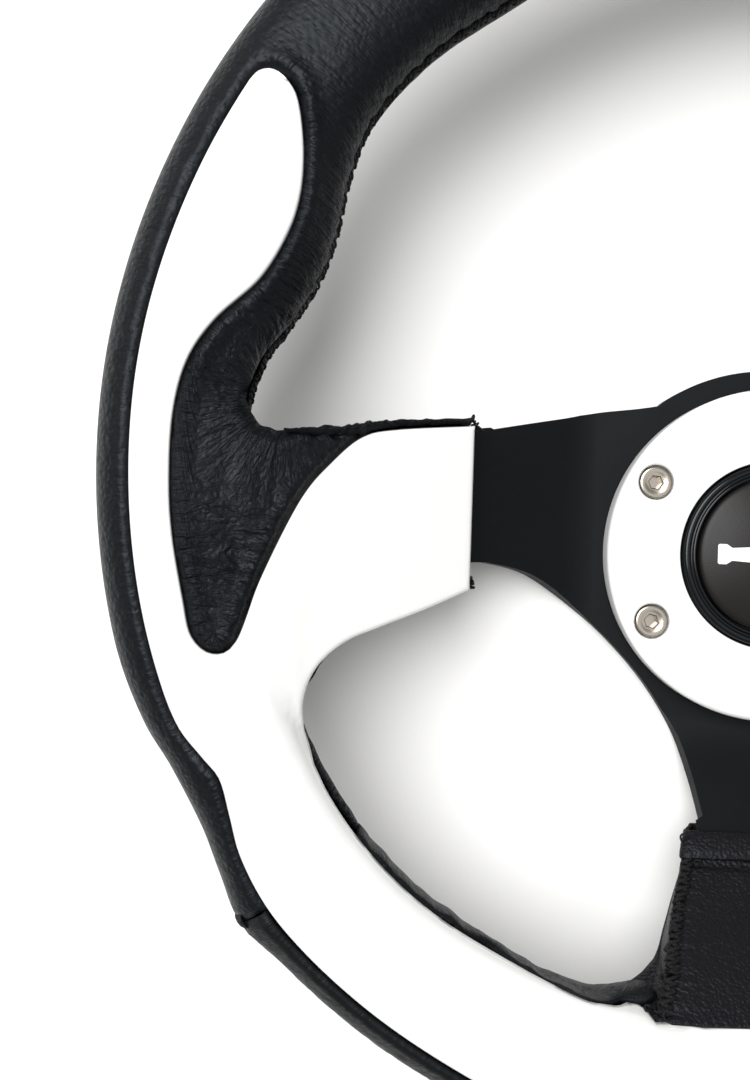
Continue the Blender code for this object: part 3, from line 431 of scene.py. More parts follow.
def densify(loop, spacing):
    """The closed loop with its long straight runs divided."""
    found = []
    for a, b in zip(loop, np.roll(loop, -1, axis=0)):
        count = max(1, round(float(np.linalg.norm(b - a)) / spacing))
        found.append(a + (b - a) * (np.arange(count) / count)[:, None])
    return np.concatenate(found)


def offset_line(line, distance, closed=True):
    """The line moved to its left by distance."""
    along = np.roll(line, -1, axis=0) - np.roll(line, 1, axis=0)
    if not closed:
        along[0], along[-1] = line[1] - line[0], line[-1] - line[-2]
    normal = np.stack([-along[:, 1], along[:, 0]], -1)
    return line + distance * normal / np.linalg.norm(normal, axis=1)[:, None]


def triangulate(loop, extra, holes=()):
    """Triangles over the inside of a loop, through the extra points, facing up."""
    points = [Vector(p) for p in loop]
    edges = [(i, (i + 1) % len(loop)) for i in range(len(loop))]
    for hole in holes:
        first = len(points)
        points += [Vector(p) for p in hole]
        edges += [(first + i, first + (i + 1) % len(hole)) for i in range(len(hole))]
    points += [Vector(p) for p in extra]
    placed, _, faces, *_ = delaunay_2d_cdt(
        points, edges, [tuple(range(len(loop)))], 1, 1e-5)
    placed = np.array([tuple(p) for p in placed])
    faces = np.array([tuple(f) for f in faces])
    middles = placed[faces].mean(axis=1)
    for hole in holes:
        faces = faces[~inside(middles, np.asarray(hole))]
        middles = placed[faces].mean(axis=1)
    a, b, c = (placed[faces[:, k]] for k in range(3))
    turned = np.cross(b - a, c - a) < 0
    faces[turned] = faces[turned][:, ::-1]
    used, index = np.unique(faces, return_inverse=True)
    return placed[used], index.reshape(-1, 3)


def spun(profile, segments, closed=False):
    """A mesh turned from a (radius, height) profile about the upright axis."""
    mesh = bmesh.new()
    corners = [mesh.verts.new((r, 0.0, h)) for r, h in profile]
    pairs = zip(corners, [*corners[1:], corners[0]] if closed else corners[1:])
    edges = [mesh.edges.new(pair) for pair in pairs]
    bmesh.ops.spin(mesh, geom=corners + edges, axis=(0, 0, 1), cent=(0, 0, 0),
                   dvec=(0, 0, 0), angle=math.tau, steps=segments, use_merge=False)
    bmesh.ops.remove_doubles(mesh, verts=mesh.verts, dist=SPIN_MERGE)
    bmesh.ops.recalc_face_normals(mesh, faces=mesh.faces)
    return mesh


def lathe(name, profile, material, replaces, segments, centre=(0, HUB_Y), body=WHEEL,
          closed=False, angle=40):
    """A turned piece, smooth but for the edges sharper than an angle."""
    mesh = spun(profile, segments, closed)
    if mesh.calc_volume(signed=True) < 0:
        bmesh.ops.reverse_faces(mesh, faces=mesh.faces)
    mesh.verts.ensure_lookup_table()
    points = [(v.co.x + centre[0], v.co.y + centre[1], v.co.z) for v in mesh.verts]
    faces = [[v.index for v in face.verts] for face in mesh.faces]
    mesh.free()
    item = make_object(name, points, faces, material, replaces, body)
    item.data.set_sharp_from_angle(angle=math.radians(angle))
    return item


def bevel(item, width):
    modifier = item.modifiers.new("edges", "BEVEL")
    modifier.width = width * MM
    modifier.segments = 2
    modifier.limit_method = "ANGLE"
    modifier.angle_limit = math.radians(40)


def tubes(name, paths, radius, material, replaces, sides=6):
    """Rods along several point lists, tapering in at their ends, as one piece.

    The radius is one number for all, or a list with one entry or one array per path.
    """
    points, faces = [], []
    radii = radius if isinstance(radius, list) else [radius] * len(paths)
    for path, thick in zip(paths, radii):
        path = np.asarray(path, float)
        along = np.gradient(path, axis=0)
        along /= np.linalg.norm(along, axis=1)[:, None]
        guide = np.where(np.abs(along[:, 2:3]) > 0.9, (1.0, 0.0, 0.0), (0.0, 0.0, 1.0))
        right = np.cross(along, guide)
        right /= np.linalg.norm(right, axis=1)[:, None]
        up = np.cross(right, along)
        first = len(points)
        sizes = np.full(len(path), 1.0) * thick
        sizes[[0, -1]] *= 0.55
        for p, r, u, size in zip(path, right, up, sizes):
            for k in range(sides):
                a = math.tau * k / sides
                points.append(p + size * (math.cos(a) * r + math.sin(a) * u))
        rows = grid_faces(len(path), sides, closed=True, flip=True)
        faces += [tuple(first + k for k in face) for face in rows]
        last = first + (len(path) - 1) * sides
        faces.append(tuple(range(first, first + sides)))
        faces.append(tuple(range(last + sides - 1, last - 1, -1)))
    return make_object(name, points, faces, material, replaces)


def drilled(item, cutters):
    """Cuts the cutters out of a piece and removes them."""
    for cutter in cutters:
        modifier = item.modifiers.new("cut", "BOOLEAN")
        modifier.operation = "DIFFERENCE"
        modifier.object = cutter
        modifier.solver = "EXACT"
    graph = bpy.context.evaluated_depsgraph_get()
    mesh = bpy.data.meshes.new_from_object(item.evaluated_get(graph))
    item.modifiers.clear()
    item.data = mesh
    for cutter in cutters:
        bpy.data.objects.remove(cutter)
    item.data.set_sharp_from_angle(angle=math.radians(35))


def rolled_edge(gap, radius=1.5):
    """How far a surface falls at this distance from its rolled edge."""
    near = np.clip(radius - gap, 0, radius)
    return radius - np.sqrt(radius ** 2 - near ** 2)


def waves(s, lengths, seed):
    """A lumpy line: a sum of sines of several wavelengths, in -1 to 1."""
    phases = np.random.default_rng(seed).uniform(0, math.tau, (len(lengths), 2))
    total = 0
    for (p, q), length in zip(phases, lengths):
        total = total + np.sin(math.tau * s / length + p + 1.3 * np.sin(s / (3.1 * length) + q))
    return total / len(lengths)


# ---- materials


def node(tree, kind, inputs=None, **settings):
    made = tree.nodes.new("ShaderNode" + kind)
    for key, value in settings.items():
        setattr(made, key, value)
    for key, value in (inputs or {}).items():
        if isinstance(value, bpy.types.NodeSocket):
            tree.links.new(value, made.inputs[key])
        else:
            made.inputs[key].default_value = value
    return made


def new_material(name, colour, roughness, metallic=0.0, **sockets):
    material = bpy.data.materials.new(name)
    material.use_nodes = True
    shader = material.node_tree.nodes["Principled BSDF"]
    shader.inputs["Base Color"].default_value = (*colour, 1)
    shader.inputs["Roughness"].default_value = roughness
    shader.inputs["Metallic"].default_value = metallic
    for key, value in sockets.items():
        shader.inputs[key.replace("_", " ")].default_value = value
    return material, material.node_tree, shader


def join(tree, shader, **made):
    """Links each output that was made to the shader's input of that name."""
    for key, output in made.items():
        tree.links.new(output, shader.inputs[key.replace("_", " ")])


def ramp(tree, value, low, high):
    """A value from 0 to 1 spread between low and high."""
    made = node(tree, "MapRange", {"Value": value, "To Min": low, "To Max": high})
    return made.outputs["Result"]


def stretched(tree, source, scale):
    return node(tree, "Mapping", {"Vector": source, "Scale": scale}).outputs["Vector"]


def bump(tree, height, distance, strength=1.0, under=None):
    """A normal from a height of so many metres, over another bump if there is one."""
    inputs = {"Height": height, "Distance": distance, "Strength": strength}
    if under is not None:
        inputs["Normal"] = under
    return node(tree, "Bump", inputs).outputs["Normal"]


def place(tree):
    """Where a point is on its own object, in metres."""
    return node(tree, "TexCoord").outputs["Object"]


def noise(tree, where, scale, detail=3.0, rough=0.55, distortion=0.0):
    made = node(tree, "TexNoise", {
        "Vector": where, "Scale": scale, "Detail": detail, "Roughness": rough,
        "Distortion": distortion})
    return made.outputs["Fac"]


def mix_colour(tree, factor, a, b):
    """A colour between two, by a factor that varies."""
    made = node(tree, "Mix", data_type="RGBA")
    tree.links.new(factor, made.inputs[0])
    made.inputs[6].default_value = (*a, 1)
    made.inputs[7].default_value = (*b, 1)
    return made.outputs[2]


def leather_material(name, dark, light, grain, crease, roughness=(0.42, 0.62), cell=880.0):
    """Grained hide: cells and pores everywhere, and creases that run away from the seam."""
    material, tree, shader = new_material(
        name, dark, 0.5, Specular_IOR_Level=0.2, Specular_Tint=(0.84, 0.91, 1.0, 1.0))
    where = place(tree)
    warped = node(tree, "VectorMath", {
        0: where,
        1: node(tree, "VectorMath", {
            0: node(tree, "TexNoise", {"Vector": where, "Scale": 420.0}).outputs["Color"],
            "Scale": 0.0011}, operation="SCALE").outputs[0]}).outputs[0]
    cells = node(tree, "TexVoronoi", {"Vector": warped, "Scale": cell},
                 feature="SMOOTH_F1").outputs["Distance"]
    pores = noise(tree, where, 2600.0, 2.0)
    blotch = noise(tree, where, 45.0, 4.0)
    seam = node(tree, "UVMap", uv_map="seam").outputs["UV"]
    folds = noise(tree, stretched(tree, seam, (62.0, 9.0, 1.0)), 1.0, 3.0, 0.6, 0.35)
    fine = noise(tree, stretched(tree, seam, (150.0, 26.0, 1.0)), 1.0, 3.0, 0.6, 0.3)
    border = node(tree, "UVMap", uv_map="border").outputs["UV"]
    tucks = noise(tree, stretched(tree, border, (80.0, 20.0, 1.0)), 1.0, 2.0, 0.5, 0.3)
    level = noise(tree, stretched(tree, warped, (110.0, 380.0, 110.0)), 1.0, 4.0, 0.55, 0.9)
    normal = bump(tree, cells, grain)
    normal = bump(tree, pores, grain * 0.3, 0.7, normal)
    for height, word, share in ((folds, "crease", 1.0), (fine, "crease", 0.6),
                                (level, "cross", 0.9), (tucks, "bead", 0.7)):
        amount = node(tree, "Attribute", attribute_name=word).outputs["Fac"]
        scaled = node(tree, "Math", {0: height, 1: amount}, operation="MULTIPLY").outputs[0]
        normal = bump(tree, scaled, crease * share, 1.0, normal)
    join(tree, shader, Normal=normal, Base_Color=mix_colour(tree, blotch, dark, light),
         Roughness=ramp(tree, cells, *roughness))
    return material


def thread_material(name):
    material, tree, shader = new_material(name, (0.006, 0.006, 0.007), 0.6,
                                          Specular_IOR_Level=0.25)
    twist = node(tree, "TexWave", {"Vector": place(tree), "Scale": 900.0, "Distortion": 1.5,
                                   "Detail": 1.0}, bands_direction="DIAGONAL").outputs["Fac"]
    join(tree, shader, Normal=bump(tree, twist, 0.00012),
         Base_Color=mix_colour(tree, twist, (0.003, 0.003, 0.0035), (0.009, 0.009, 0.010)))
    return material


def gloss_white(name, colour, roughness, peel):
    """Lacquered white: a faint orange peel, and gloss and tone that vary a little in patches.
    """
    material, tree, shader = new_material(name, colour, roughness, Coat_Weight=0.35,
                                          Coat_Roughness=0.06)
    where = place(tree)
    haze = noise(tree, where, 18.0, 4.0)
    darker = tuple(0.965 * c for c in colour)
    join(tree, shader, Normal=bump(tree, noise(tree, where, 260.0, 2.0), peel),
         Roughness=ramp(tree, haze, roughness * 0.85, roughness * 1.3),
         Base_Color=mix_colour(tree, haze, darker, colour))
    return material


def metal(name, colour, roughness, streak, speckle, metallic=1.0, **sockets):
    """Metal with fine speckle or streaks, and small changes of gloss over its face."""
    material, tree, shader = new_material(name, colour, roughness, metallic, **sockets)
    where = place(tree)
    grain = noise(tree, stretched(tree, where, (1.0, 1.0 + streak, 1.0)), 1900.0, 2.0)
    wear = noise(tree, where, 70.0, 5.0, 0.65)
    darker = tuple(0.8 * c for c in colour)
    join(tree, shader, Normal=bump(tree, grain, speckle),
         Roughness=ramp(tree, wear, roughness * 0.75, roughness * 1.35),
         Base_Color=mix_colour(tree, wear, darker, colour))
    return material


def moulding(name, colour, roughness, texture, **sockets):
    """Moulded plastic or foam skin with a fine spark-eroded texture."""
    material, tree, shader = new_material(name, colour, roughness, **sockets)
    where = place(tree)
    grain = noise(tree, where, 2300.0, 3.0)
    gloss = noise(tree, where, 60.0, 4.0)
    lighter = tuple(min(1.0, 1.35 * c) for c in colour)
    join(tree, shader, Normal=bump(tree, grain, texture),
         Roughness=ramp(tree, gloss, roughness * 0.85, roughness * 1.2),
         Base_Color=mix_colour(tree, grain, colour, lighter))
    return material


hide = leather_material("hide", (0.0017, 0.0021, 0.0029), (0.0034, 0.0039, 0.0049),
                        0.00018, 0.0013, (0.36, 0.56))
hide_smooth = leather_material("hide_smooth", (0.002, 0.0022, 0.0026),
                               (0.0034, 0.0037, 0.0042), 0.00009, 0.0007)
thread = thread_material("waxed_thread")
inlay_white = gloss_white("inlay_lacquer", (0.86, 0.86, 0.85), 0.14, 0.000012)
ring_white = gloss_white("ring_paint", (0.84, 0.84, 0.83), 0.3, 0.00002)
plate_black = metal("anodised_plate", (0.0028, 0.0036, 0.0048), 0.55, 0.0, 0.00004, 0.0,
                    Specular_IOR_Level=0.16)
nickel = metal("nickel_plate", (0.52, 0.47, 0.4), 0.24, 0.0, 0.00001)
steel = metal("mild_steel", (0.36, 0.36, 0.37), 0.42, 6.0, 0.00004)
brass = metal("contact_brass", (0.74, 0.55, 0.26), 0.32, 4.0, 0.00002)
bezel_black = moulding("bezel_gloss", (0.002, 0.003, 0.004), 0.14, 0.000004,
                       Specular_IOR_Level=0.3)
cap_black = moulding("cap_satin", (0.006, 0.0049, 0.0045), 0.4, 0.00003,
                     Specular_IOR_Level=0.28)
print_white = moulding("print_white", (0.78, 0.78, 0.77), 0.42, 0.00001)
panel_hide = leather_material("panel_hide", (0.0034, 0.0028, 0.0037), (0.005, 0.0042, 0.0052),
                              0.00026, 0.0008, (0.38, 0.58), 1350.0)
foam = moulding("foam_skin", (0.045, 0.045, 0.05), 0.85, 0.0002)


# ---- upper cover


def inlay_line():
    """The inlay's edge, left half, from six o'clock out, up, round the tip and back in."""
    clocks = spread(180, 60.5, 0.6)
    outer = polar(clocks, look(BORDER_OUT, clocks))
    return outer, spline([*INLAY_TIP, *INLAY_THUMB], 1.3)


def front_radius(clock, turn):
    """Radius at a turn from 0 to 180: round the section, and evenly on the flat spoke."""
    middle, half = section(clock)
    wound = middle + half * bulged(np.cos(np.radians(turn)), 2 / RIM_SQUARENESS)
    even = middle - half * (turn - 90) / 90
    return wound + smoothstep(*FLAT_CLOCKS, clock) * (turn > 90) * (even - wound)


def to_domain(points):
    """Plan points on the left half as flattened (along, round) millimetres."""
    clock, radius = plan_to_polar(points)
    low, high = np.zeros_like(radius), np.full_like(radius, 180.0)
    for _ in range(30):
        middle = (low + high) / 2
        farther = front_radius(clock, middle) > radius
        low, high = np.where(farther, middle, low), np.where(farther, high, middle)
    inner = look(INNER, clock)
    round_ = np.where(radius < inner, 180 * K0 + inner - radius, K0 * low)
    return np.stack([clock * R0, round_], -1)


def from_domain(flat):
    """Points on the leather's skin."""
    clock, round_ = flat[:, 0] / R0, flat[:, 1]
    points, _ = rim_points(clock, np.clip(round_ / K0, -180, 180))
    front = round_ > 0
    radius = front_radius(clock, np.clip(round_ / K0, 0, 180))
    radius = radius - np.maximum(round_ - 180 * K0, 0)
    points[front, :2] = polar(clock[front], radius[front])
    weight = smoothstep(*FLAT_CLOCKS, clock) * (round_ > 90 * K0)
    points[:, 2] += weight * (front_height(points[:, :2]) - points[:, 2])
    return points


def mesh_normals(points, faces):
    """Unit normals at the points, from the faces round each."""
    a, b, c = (points[faces[:, k]] for k in range(3))
    across = np.cross(b - a, c - a)
    total = np.zeros_like(points)
    for k in range(3):
        np.add.at(total, faces[:, k], across)
    return total / np.maximum(np.linalg.norm(total, axis=1), 1e-9)[:, None]


def upper_border():
    """The upper cover's flattened outline, left half, from twelve o'clock.

    With it go the part that follows the inlay and the edge of the window, both in plan.
    """
    inner_clocks = spread(0, WING_CLOCK, 0.5)
    front_seam = np.stack([inner_clocks * R0, np.full_like(inner_clocks, SEAM_TURN * K0)], -1)
    wing = spline(WING_TOP[::-1], 1.3)
    window = np.vstack([polar(inner_clocks, look(INNER, inner_clocks)), wing])
    outer, thumb = inlay_line()
    thumb = thumb[thumb[:, 0] < -104.4]
    loop = np.vstack([outer[plan_to_polar(outer)[0] <= PANEL_SEAM - SEAM_STEP], thumb])
    moved = offset_line(loop, -GROOVE, closed=False)
    inlay_edge = to_domain(moved)[::-1]
    end = (PANEL_SEAM - SEAM_STEP) * R0
    across = spread(inlay_edge[-1][1], -SEAM_TURN * K0, 1.3)
    panel = np.stack([np.full_like(across, end), across], -1)
    back_clocks = spread(PANEL_SEAM - SEAM_STEP, 0, 0.8)[1:]
    rear_seam = np.stack([back_clocks * R0, np.full_like(back_clocks, -SEAM_TURN * K0)], -1)
    top = spread(-SEAM_TURN * K0, SEAM_TURN * K0, 1.3)[1:-1]
    twelve = np.stack([np.zeros_like(top), top], -1)
    outline = np.vstack([front_seam, to_domain(wing), inlay_edge, panel, rear_seam, twelve])
    return outline, moved, window


def seam_coordinates(plan, clock, round_, window):
    """Along-seam and off-seam millimetres for each point of the upper cover.

    On the thumb pad they fan out round the corner of the window, as the hide is gathered.
    """
    gap = nearest(plan, window)[0]
    away = np.abs(180 * K0 - np.abs(round_)) * 1.05
    fan = plan - FAN_CENTRE
    size = np.linalg.norm(fan, axis=1)
    angle = np.arctan2(fan[:, 1], -fan[:, 0])
    radius = np.linalg.norm(plan, axis=1)
    pad = smoothstep(*PAD_CLOCKS, clock) * (round_ > 0)
    pad = pad * (1 - smoothstep(*PAD_RADII, radius))
    u = clock * R0 * (1 - pad) + (195 - FAN_RADIUS * angle) * pad
    v = away * (1 - pad) + np.maximum(size - 4.0, 0) * pad
    return u, v, gap, pad


def make_upper_cover():
    """One hide over the top, the sides and the thumb pads."""
    outline, inlay_edge, window = upper_border()
    fine, coarse = hex_grid(outline, 1.25), hex_grid(outline, 2.6)
    extra = np.vstack([fine[fine[:, 1] > -6], coarse[coarse[:, 1] <= -8]])
    extra = well_inside(extra, outline, 0.75)
    extra = extra[nearest(extra, to_domain(inlay_edge))[0] > 2.0]
    for step in (0.3, 0.7, 1.2, 1.7):
        row = to_domain(offset_line(inlay_edge, -step, closed=False))
        extra = np.vstack([extra, well_inside(row, outline, 0.7 * step)])
    extra = extra[extra[:, 0] > 0.4]
    flat, faces = triangulate(outline, extra)
    points = from_domain(flat)
    out = mesh_normals(points, faces)
    out[np.abs(flat[:, 0]) < 1e-6, 0] = 0
    clock, round_ = flat[:, 0] / R0, flat[:, 1]
    plan = points[:, :2].copy()

    u, v, gap, pad = seam_coordinates(plan, clock, round_, window)
    edge_gap, edge_along = nearest(plan, inlay_edge)
    edge_gap = np.where(round_ > -4, edge_gap, 40)
    window_gap = np.where(round_ > 0, gap, 40)

    wing_edge = nearest(plan, window[len(spread(0, WING_CLOCK, 0.5)) + 4:])[0]
    wing_edge = hump(wing_edge, 2.2) * (round_ > 100 * K0)
    raised = 1 - smoothstep(145, 151, np.hypot(plan[:, 0], plan[:, 1]))
    hem = (1 - smoothstep(*HEM_CLOCKS, clock) * (round_ > 0)) * (round_ < 180 * K0)
    results = []
    for side, seed in ((1, 11), (-1, 23)):
        # gathers that run out from the window, coarser at the corner of the spoke
        pinch = hump(v, 5.0) * (0.5 + 0.5 * (round_ > 0))
        notch = hump(clock - 77, 9)
        lumps = waves(u, (7.3, 4.6, 3.4), seed) * (0.42 + 0.2 * notch) * pinch
        lumps += waves(u, (10.5, 5.9), seed + 1) * 0.35 * hump(v, 12) * notch
        lumps += waves(plan[:, 0], (5.3, 3.6), seed + 4) * 0.75 * wing_edge
        # the bead beside the inlay, its ripples, and the edge rolled down next to it
        ripple = waves(edge_along, (5.1, 3.7, 2.9), seed + 2) * 0.10
        ripple *= hump(edge_gap - 2.6, 2.2) * raised
        bead = 0.5 * hump(edge_gap - 2.9, 1.6) * raised
        rolled = rolled_edge(edge_gap, 1.6)
        # the hem tucked in at the window, the lip of the spoke and the dip at the panel seam
        tucked = 0.9 * hem * hump(180 * K0 - np.abs(round_), 1.1)
        lip = np.where((round_ > 174 * K0) & (clock > 84),
                       1.8 * hump(window_gap, 1.3), 0)
        panel = 0.4 * hump((PANEL_SEAM - clock) * R0, 1.2)
        height = lumps + ripple + bead - rolled - tucked - panel
        at_top = 1 - hump(clock, 3)
        moved = points + out * (height * at_top - (rolled + tucked) * (1 - at_top))[:, None]
        moved[:, 2] -= lip
        if side < 0:
            moved = moved * (-1, 1, 1)
        results.append(moved)
    middle = np.abs(flat[:, 0]) < 1e-6
    count = len(flat)
    joined = np.where(middle, np.arange(count), np.arange(count) + count)
    right_faces = joined[faces][:, ::-1]
    all_points = np.vstack(results)
    all_faces = np.vstack([faces, right_faces])
    crease = (0.12 + 1.3 * hump(v, 14)) * (1 + 0.7 * notch) * at_top
    cross = 1.5 * pad * smoothstep(7, 24, v) * smoothstep(88, 98, clock)
    bead_here = hump(edge_gap - 2.4, 2.4) * (0.15 + 0.85 * raised)
    used, index = np.unique(all_faces, return_inverse=True)
    cover = make_object(
        "upper_cover", all_points[used], index.reshape(-1, 3), hide,
        ["upper_rim_leather", "left_rim_leather", "right_rim_leather", "left_thumb_grip",
         "right_thumb_grip"])

    def both(values, shift=0):
        return np.concatenate([values, values + shift])[used]

    set_uv(cover, both(u, 431), both(v))
    set_uv(cover, both(edge_along, 611), both(edge_gap), "border")
    for word, values in (("crease", crease), ("cross", cross), ("bead", bead_here)):
        set_value(cover, word, both(values))
    thicken(cover, LEATHER)


# ---- lower cover


def refine(net, rows, columns):
    """A control net of points made finer both ways along smooth curves."""
    def finer(points, steps):
        padded = [points[0], *points, points[-1]]
        found = [catmull_rom(*padded[i:i + 4], t)
                 for i in range(len(points) - 1) for t in np.arange(steps) / steps]
        return np.stack([*found, points[-1]])

    net = finer(np.asarray(net, float), rows)
    return finer(net.transpose(1, 0, 2), columns).transpose(1, 0, 2)


def surface_normals(net):
    """Unit normals of a grid of points, along rows crossed with along columns."""
    normal = np.cross(np.gradient(net, axis=0), np.gradient(net, axis=1))
    return normal / np.maximum(np.linalg.norm(normal, axis=2), 1e-9)[..., None]


def grid_lengths(net):
    """Arc lengths of a grid of points down its columns and along its rows."""
    down = np.linalg.norm(np.diff(net, axis=0), axis=2)
    across = np.linalg.norm(np.diff(net, axis=1), axis=2)
    down = np.vstack([np.zeros((1, net.shape[1])), np.cumsum(down, axis=0)])
    across = np.hstack([np.zeros((net.shape[0], 1)), np.cumsum(across, axis=1)])
    return down, across


def sheet_object(name, net, material, node_name, crease, thickness=LEATHER, flip=False):
    """A piece of hide over a grid of points, in place of one CAD node."""
    rows, columns = net.shape[:2]
    item = make_object(name, net.reshape(-1, 3), grid_faces(rows, columns, flip=flip),
                       material, [node_name])
    down, across = grid_lengths(net)
    set_uv(item, down.ravel(), across.ravel())
    set_value(item, "crease", np.broadcast_to(crease, (rows, columns)).ravel())
    thicken(item, thickness)


def inner_lip(near, clock, share, shift):
    """Points of the narrow band of hide between the rim's inside and the inlay's edge."""
    low, high = look(INNER, near) + shift, look(BORDER_IN, near) - GROOVE
    top = front_height(polar(near, high)) + 0.2
    share = np.clip(share, 0, 1)
    plan = polar(clock, low[:, None] + (high - low)[:, None] * share)
    rise = 1 - (1 - share) ** 1.5
    return np.dstack([plan, RIM_Z + (top - RIM_Z)[:, None] * rise])


def make_lower_cover():
    clocks = spread(PANEL_SEAM + SEAM_STEP, 360 - PANEL_SEAM - SEAM_STEP, 0.55)
    near = np.minimum(clocks, 360 - clocks)
    start = turn_at(near, look(BORDER_OUT, near) + GROOVE)
    shift = np.interp(near, *dense(LOWER_SHIFT))
    lip = turn_at(near, look(BORDER_IN, near) - GROOVE, np.minimum(shift, 0)) - 360
    end = lip + smoothstep(*LIP_CLOCKS, near) * (-180 - lip)
    edge = np.array(EDGE_STEPS)
    share = spread(0, 1, 1 / 52)[1:-1]
    length = (start - end) * K0
    steps = np.concatenate([
        np.broadcast_to(edge, (len(clocks), len(edge))),
        edge[-1] + share * (length[:, None] - 2 * edge[-1]),
        length[:, None] - edge[::-1]], axis=1)
    turn = start[:, None] - steps / K0
    clock = np.broadcast_to(np.where(clocks > 180, clocks - 360, clocks)[:, None], turn.shape)
    net, out = rim_points(clock, turn, shift[:, None])
    share = (-180 - turn) / np.maximum(-180 - lip, 1)[:, None]
    band = smoothstep(*BAND_CLOCKS, near)[:, None, None] * (turn < -180)[..., None]
    net += band * (inner_lip(near, clock, share, shift) - net)
    gap_in = length[:, None] - steps
    along = clocks[:, None] * R0
    ends = np.minimum(clocks - clocks[0], clocks[-1] - clocks)[:, None] * R0
    inner = hump((turn + 180) * K0, 7)
    height = 0.45 * waves(along, (17.0, 11.3, 7.1), 31) * inner
    height += 0.10 * waves(along + steps, (6.1, 4.3), 32)
    height += 0.35 * hump(steps - 2.6, 1.6)
    height -= rolled_edge(steps) + rolled_edge(gap_in)
    height -= 0.4 * hump(ends, 1.2)
    height += 0.1 * hump(ends - 2.6, 1.4) * (1 + waves(steps, (3.3, 2.1), 33))
    net = net + out * height[..., None]
    crease = 0.25 + 0.7 * inner + 0.5 * hump(ends, 7)
    sheet_object("lower_cover", net, hide_smooth, "lower_rim_leather", crease)


# ---- inlay


def make_inlay():
    outer, thumb = inlay_line()
    tip = spline(INLAY_TIP, 1.0)
    lower = spline(INLAY_LOWER, 1.0)[:-1]
    clocks = spread(*INLAY_CLOCKS, 0.4)
    inner = polar(clocks, look(BORDER_IN, clocks))
    left = np.vstack([outer[1:], tip, thumb[1:], lower, inner, INLAY_FOOT])
    keep = np.linalg.norm(np.diff(left, axis=0, prepend=left[-1:]), axis=1) > 0.05
    left = left[keep]
    loop = densify(np.vstack([left, left[::-1] * (-1, 1)]), 1.0)
    rows = []
    for step in (0.25, 0.55, 0.95, 1.7, 2.8):
        for sign in (1, -1):
            rows.append(well_inside(offset_line(loop, sign * step), loop, 0.85 * step))
    extra = well_inside(hex_grid(loop, 3.0), loop, 3.6)
    flat, faces = triangulate(loop, np.vstack([extra, *rows]))
    gap = nearest(flat, loop, closed=True)[0]
    heights = front_height(flat) - rolled_edge(gap, 0.9)
    item = make_object("inlay", np.column_stack([flat, heights]), faces, inlay_white,
                       ["front_inlay"])
    thicken(item, INLAY)


# ---- spoke covers


def sleeve_net(side):
    """Sections of a side spoke's cover, each round its rear from top to bottom edge."""
    shares = (0.06, 0.25, 0.5, 0.75, 0.94)
    rows = []
    for top, bottom in zip(SLEEVE_TOP, SLEEVE_BOTTOM):
        top, bottom = np.array(top), np.array(bottom)
        plan = [top, top, top, *[top + t * (bottom - top) for t in shares], *[bottom] * 3]
        rows.append(sleeve_row(np.array(plan), top[0] > -101))
    clocks = np.array([0, 0, 0, *shares, 1, 1, 1.0])
    clocks = SLEEVE_CLOCK[0] + (SLEEVE_CLOCK[1] - SLEEVE_CLOCK[0]) * clocks
    rows.append(sleeve_row(polar(clocks, look(INNER, clocks) - 0.7), False))
    return np.array(rows) * (side, 1, 1)


def sleeve_row(plan, rises):
    """One section, which starts higher where the hide shows above the inlay."""
    heights = front_height(plan)
    rear = plate_rear(plan) - SLEEVE_BELOW_PLATE
    first, last = heights[0] - (1.3 if rises else 3.2), heights[-1] - 3.2
    levels = [first, (first + rear[0]) / 2, rear[0] + 2.5, *rear[3:-3],
              rear[-1] + 2.5, (last + rear[-1]) / 2, last]
    return np.column_stack([plan, levels])


def make_sleeve(name, side, node_name, seed):
    net = refine(sleeve_net(side), 9, 6)
    down, across = grid_lengths(net)
    normal = surface_normals(net) * side
    lumps = waves(down + 0.3 * across, (6.3, 4.1, 2.9), seed) * 0.30
    lumps *= 0.5 * hump(across, 6) + 0.35
    net = net + normal * lumps[..., None]
    sheet_object(name, net, hide, node_name, 0.8, flip=side < 0)


def cover_net():
    """Sections of the bottom spoke's cover, each from the rear seam round to the front."""
    rows = []
    for front, skirt, corner in zip(COVER_EDGE, COVER_SKIRT, COVER_WALL):
        (x, y, z), (far, low_y, low) = front, skirt
        left = [
            (-0.6, low_y, low - 1.2), (0.5 * far, low_y, low - 1.2),
            (far + 1.3, low_y, low - 1.2), (far, low_y, low), corner, (x - 0.5, y, z - 0.9),
            (x + 1.0, y, z + 0.2), (0.5 * x, y, z + 0.6)]
        rows.append([*left, (0.0, y, z + 0.8), *[(-a, b, c) for a, b, c in left[::-1]]])
    return np.array(rows)


def make_bottom_cover():
    net = refine(cover_net(), 10, COVER_FINE)
    down, across = grid_lengths(net)
    last = net.shape[1] - 1
    edge = np.minimum(np.abs(across - across[:, EDGE_COLUMN:EDGE_COLUMN + 1]),
                      np.abs(across - across[:, last - EDGE_COLUMN:last - EDGE_COLUMN + 1]))
    columns = np.abs(np.arange(last + 1) - last // 2)[None, :]
    panel = columns < last // 2 - EDGE_COLUMN + 2
    lumps = waves(down, (3.1, 4.4, 2.3), 51) * 0.35 * hump(edge, 3.0)
    lumps = lumps - 0.5 * hump(edge, 1.0)
    lumps += 0.15 * waves(across + 0.6 * down, (13.0, 8.0), 52) * panel
    lumps -= 0.6 * hump(down - 6.0, 1.0) * panel
    lumps += 0.06 * waves(down - 0.7 * across, (9.0, 6.2), 53) * ~panel
    net = net + surface_normals(net) * lumps[..., None]
    crease = 0.12 + 0.3 * hump(edge, 2.5) + 0.3 * ~panel
    sheet_object("bottom_cover", net, panel_hide, "bottom_spoke_leather", crease, flip=True)


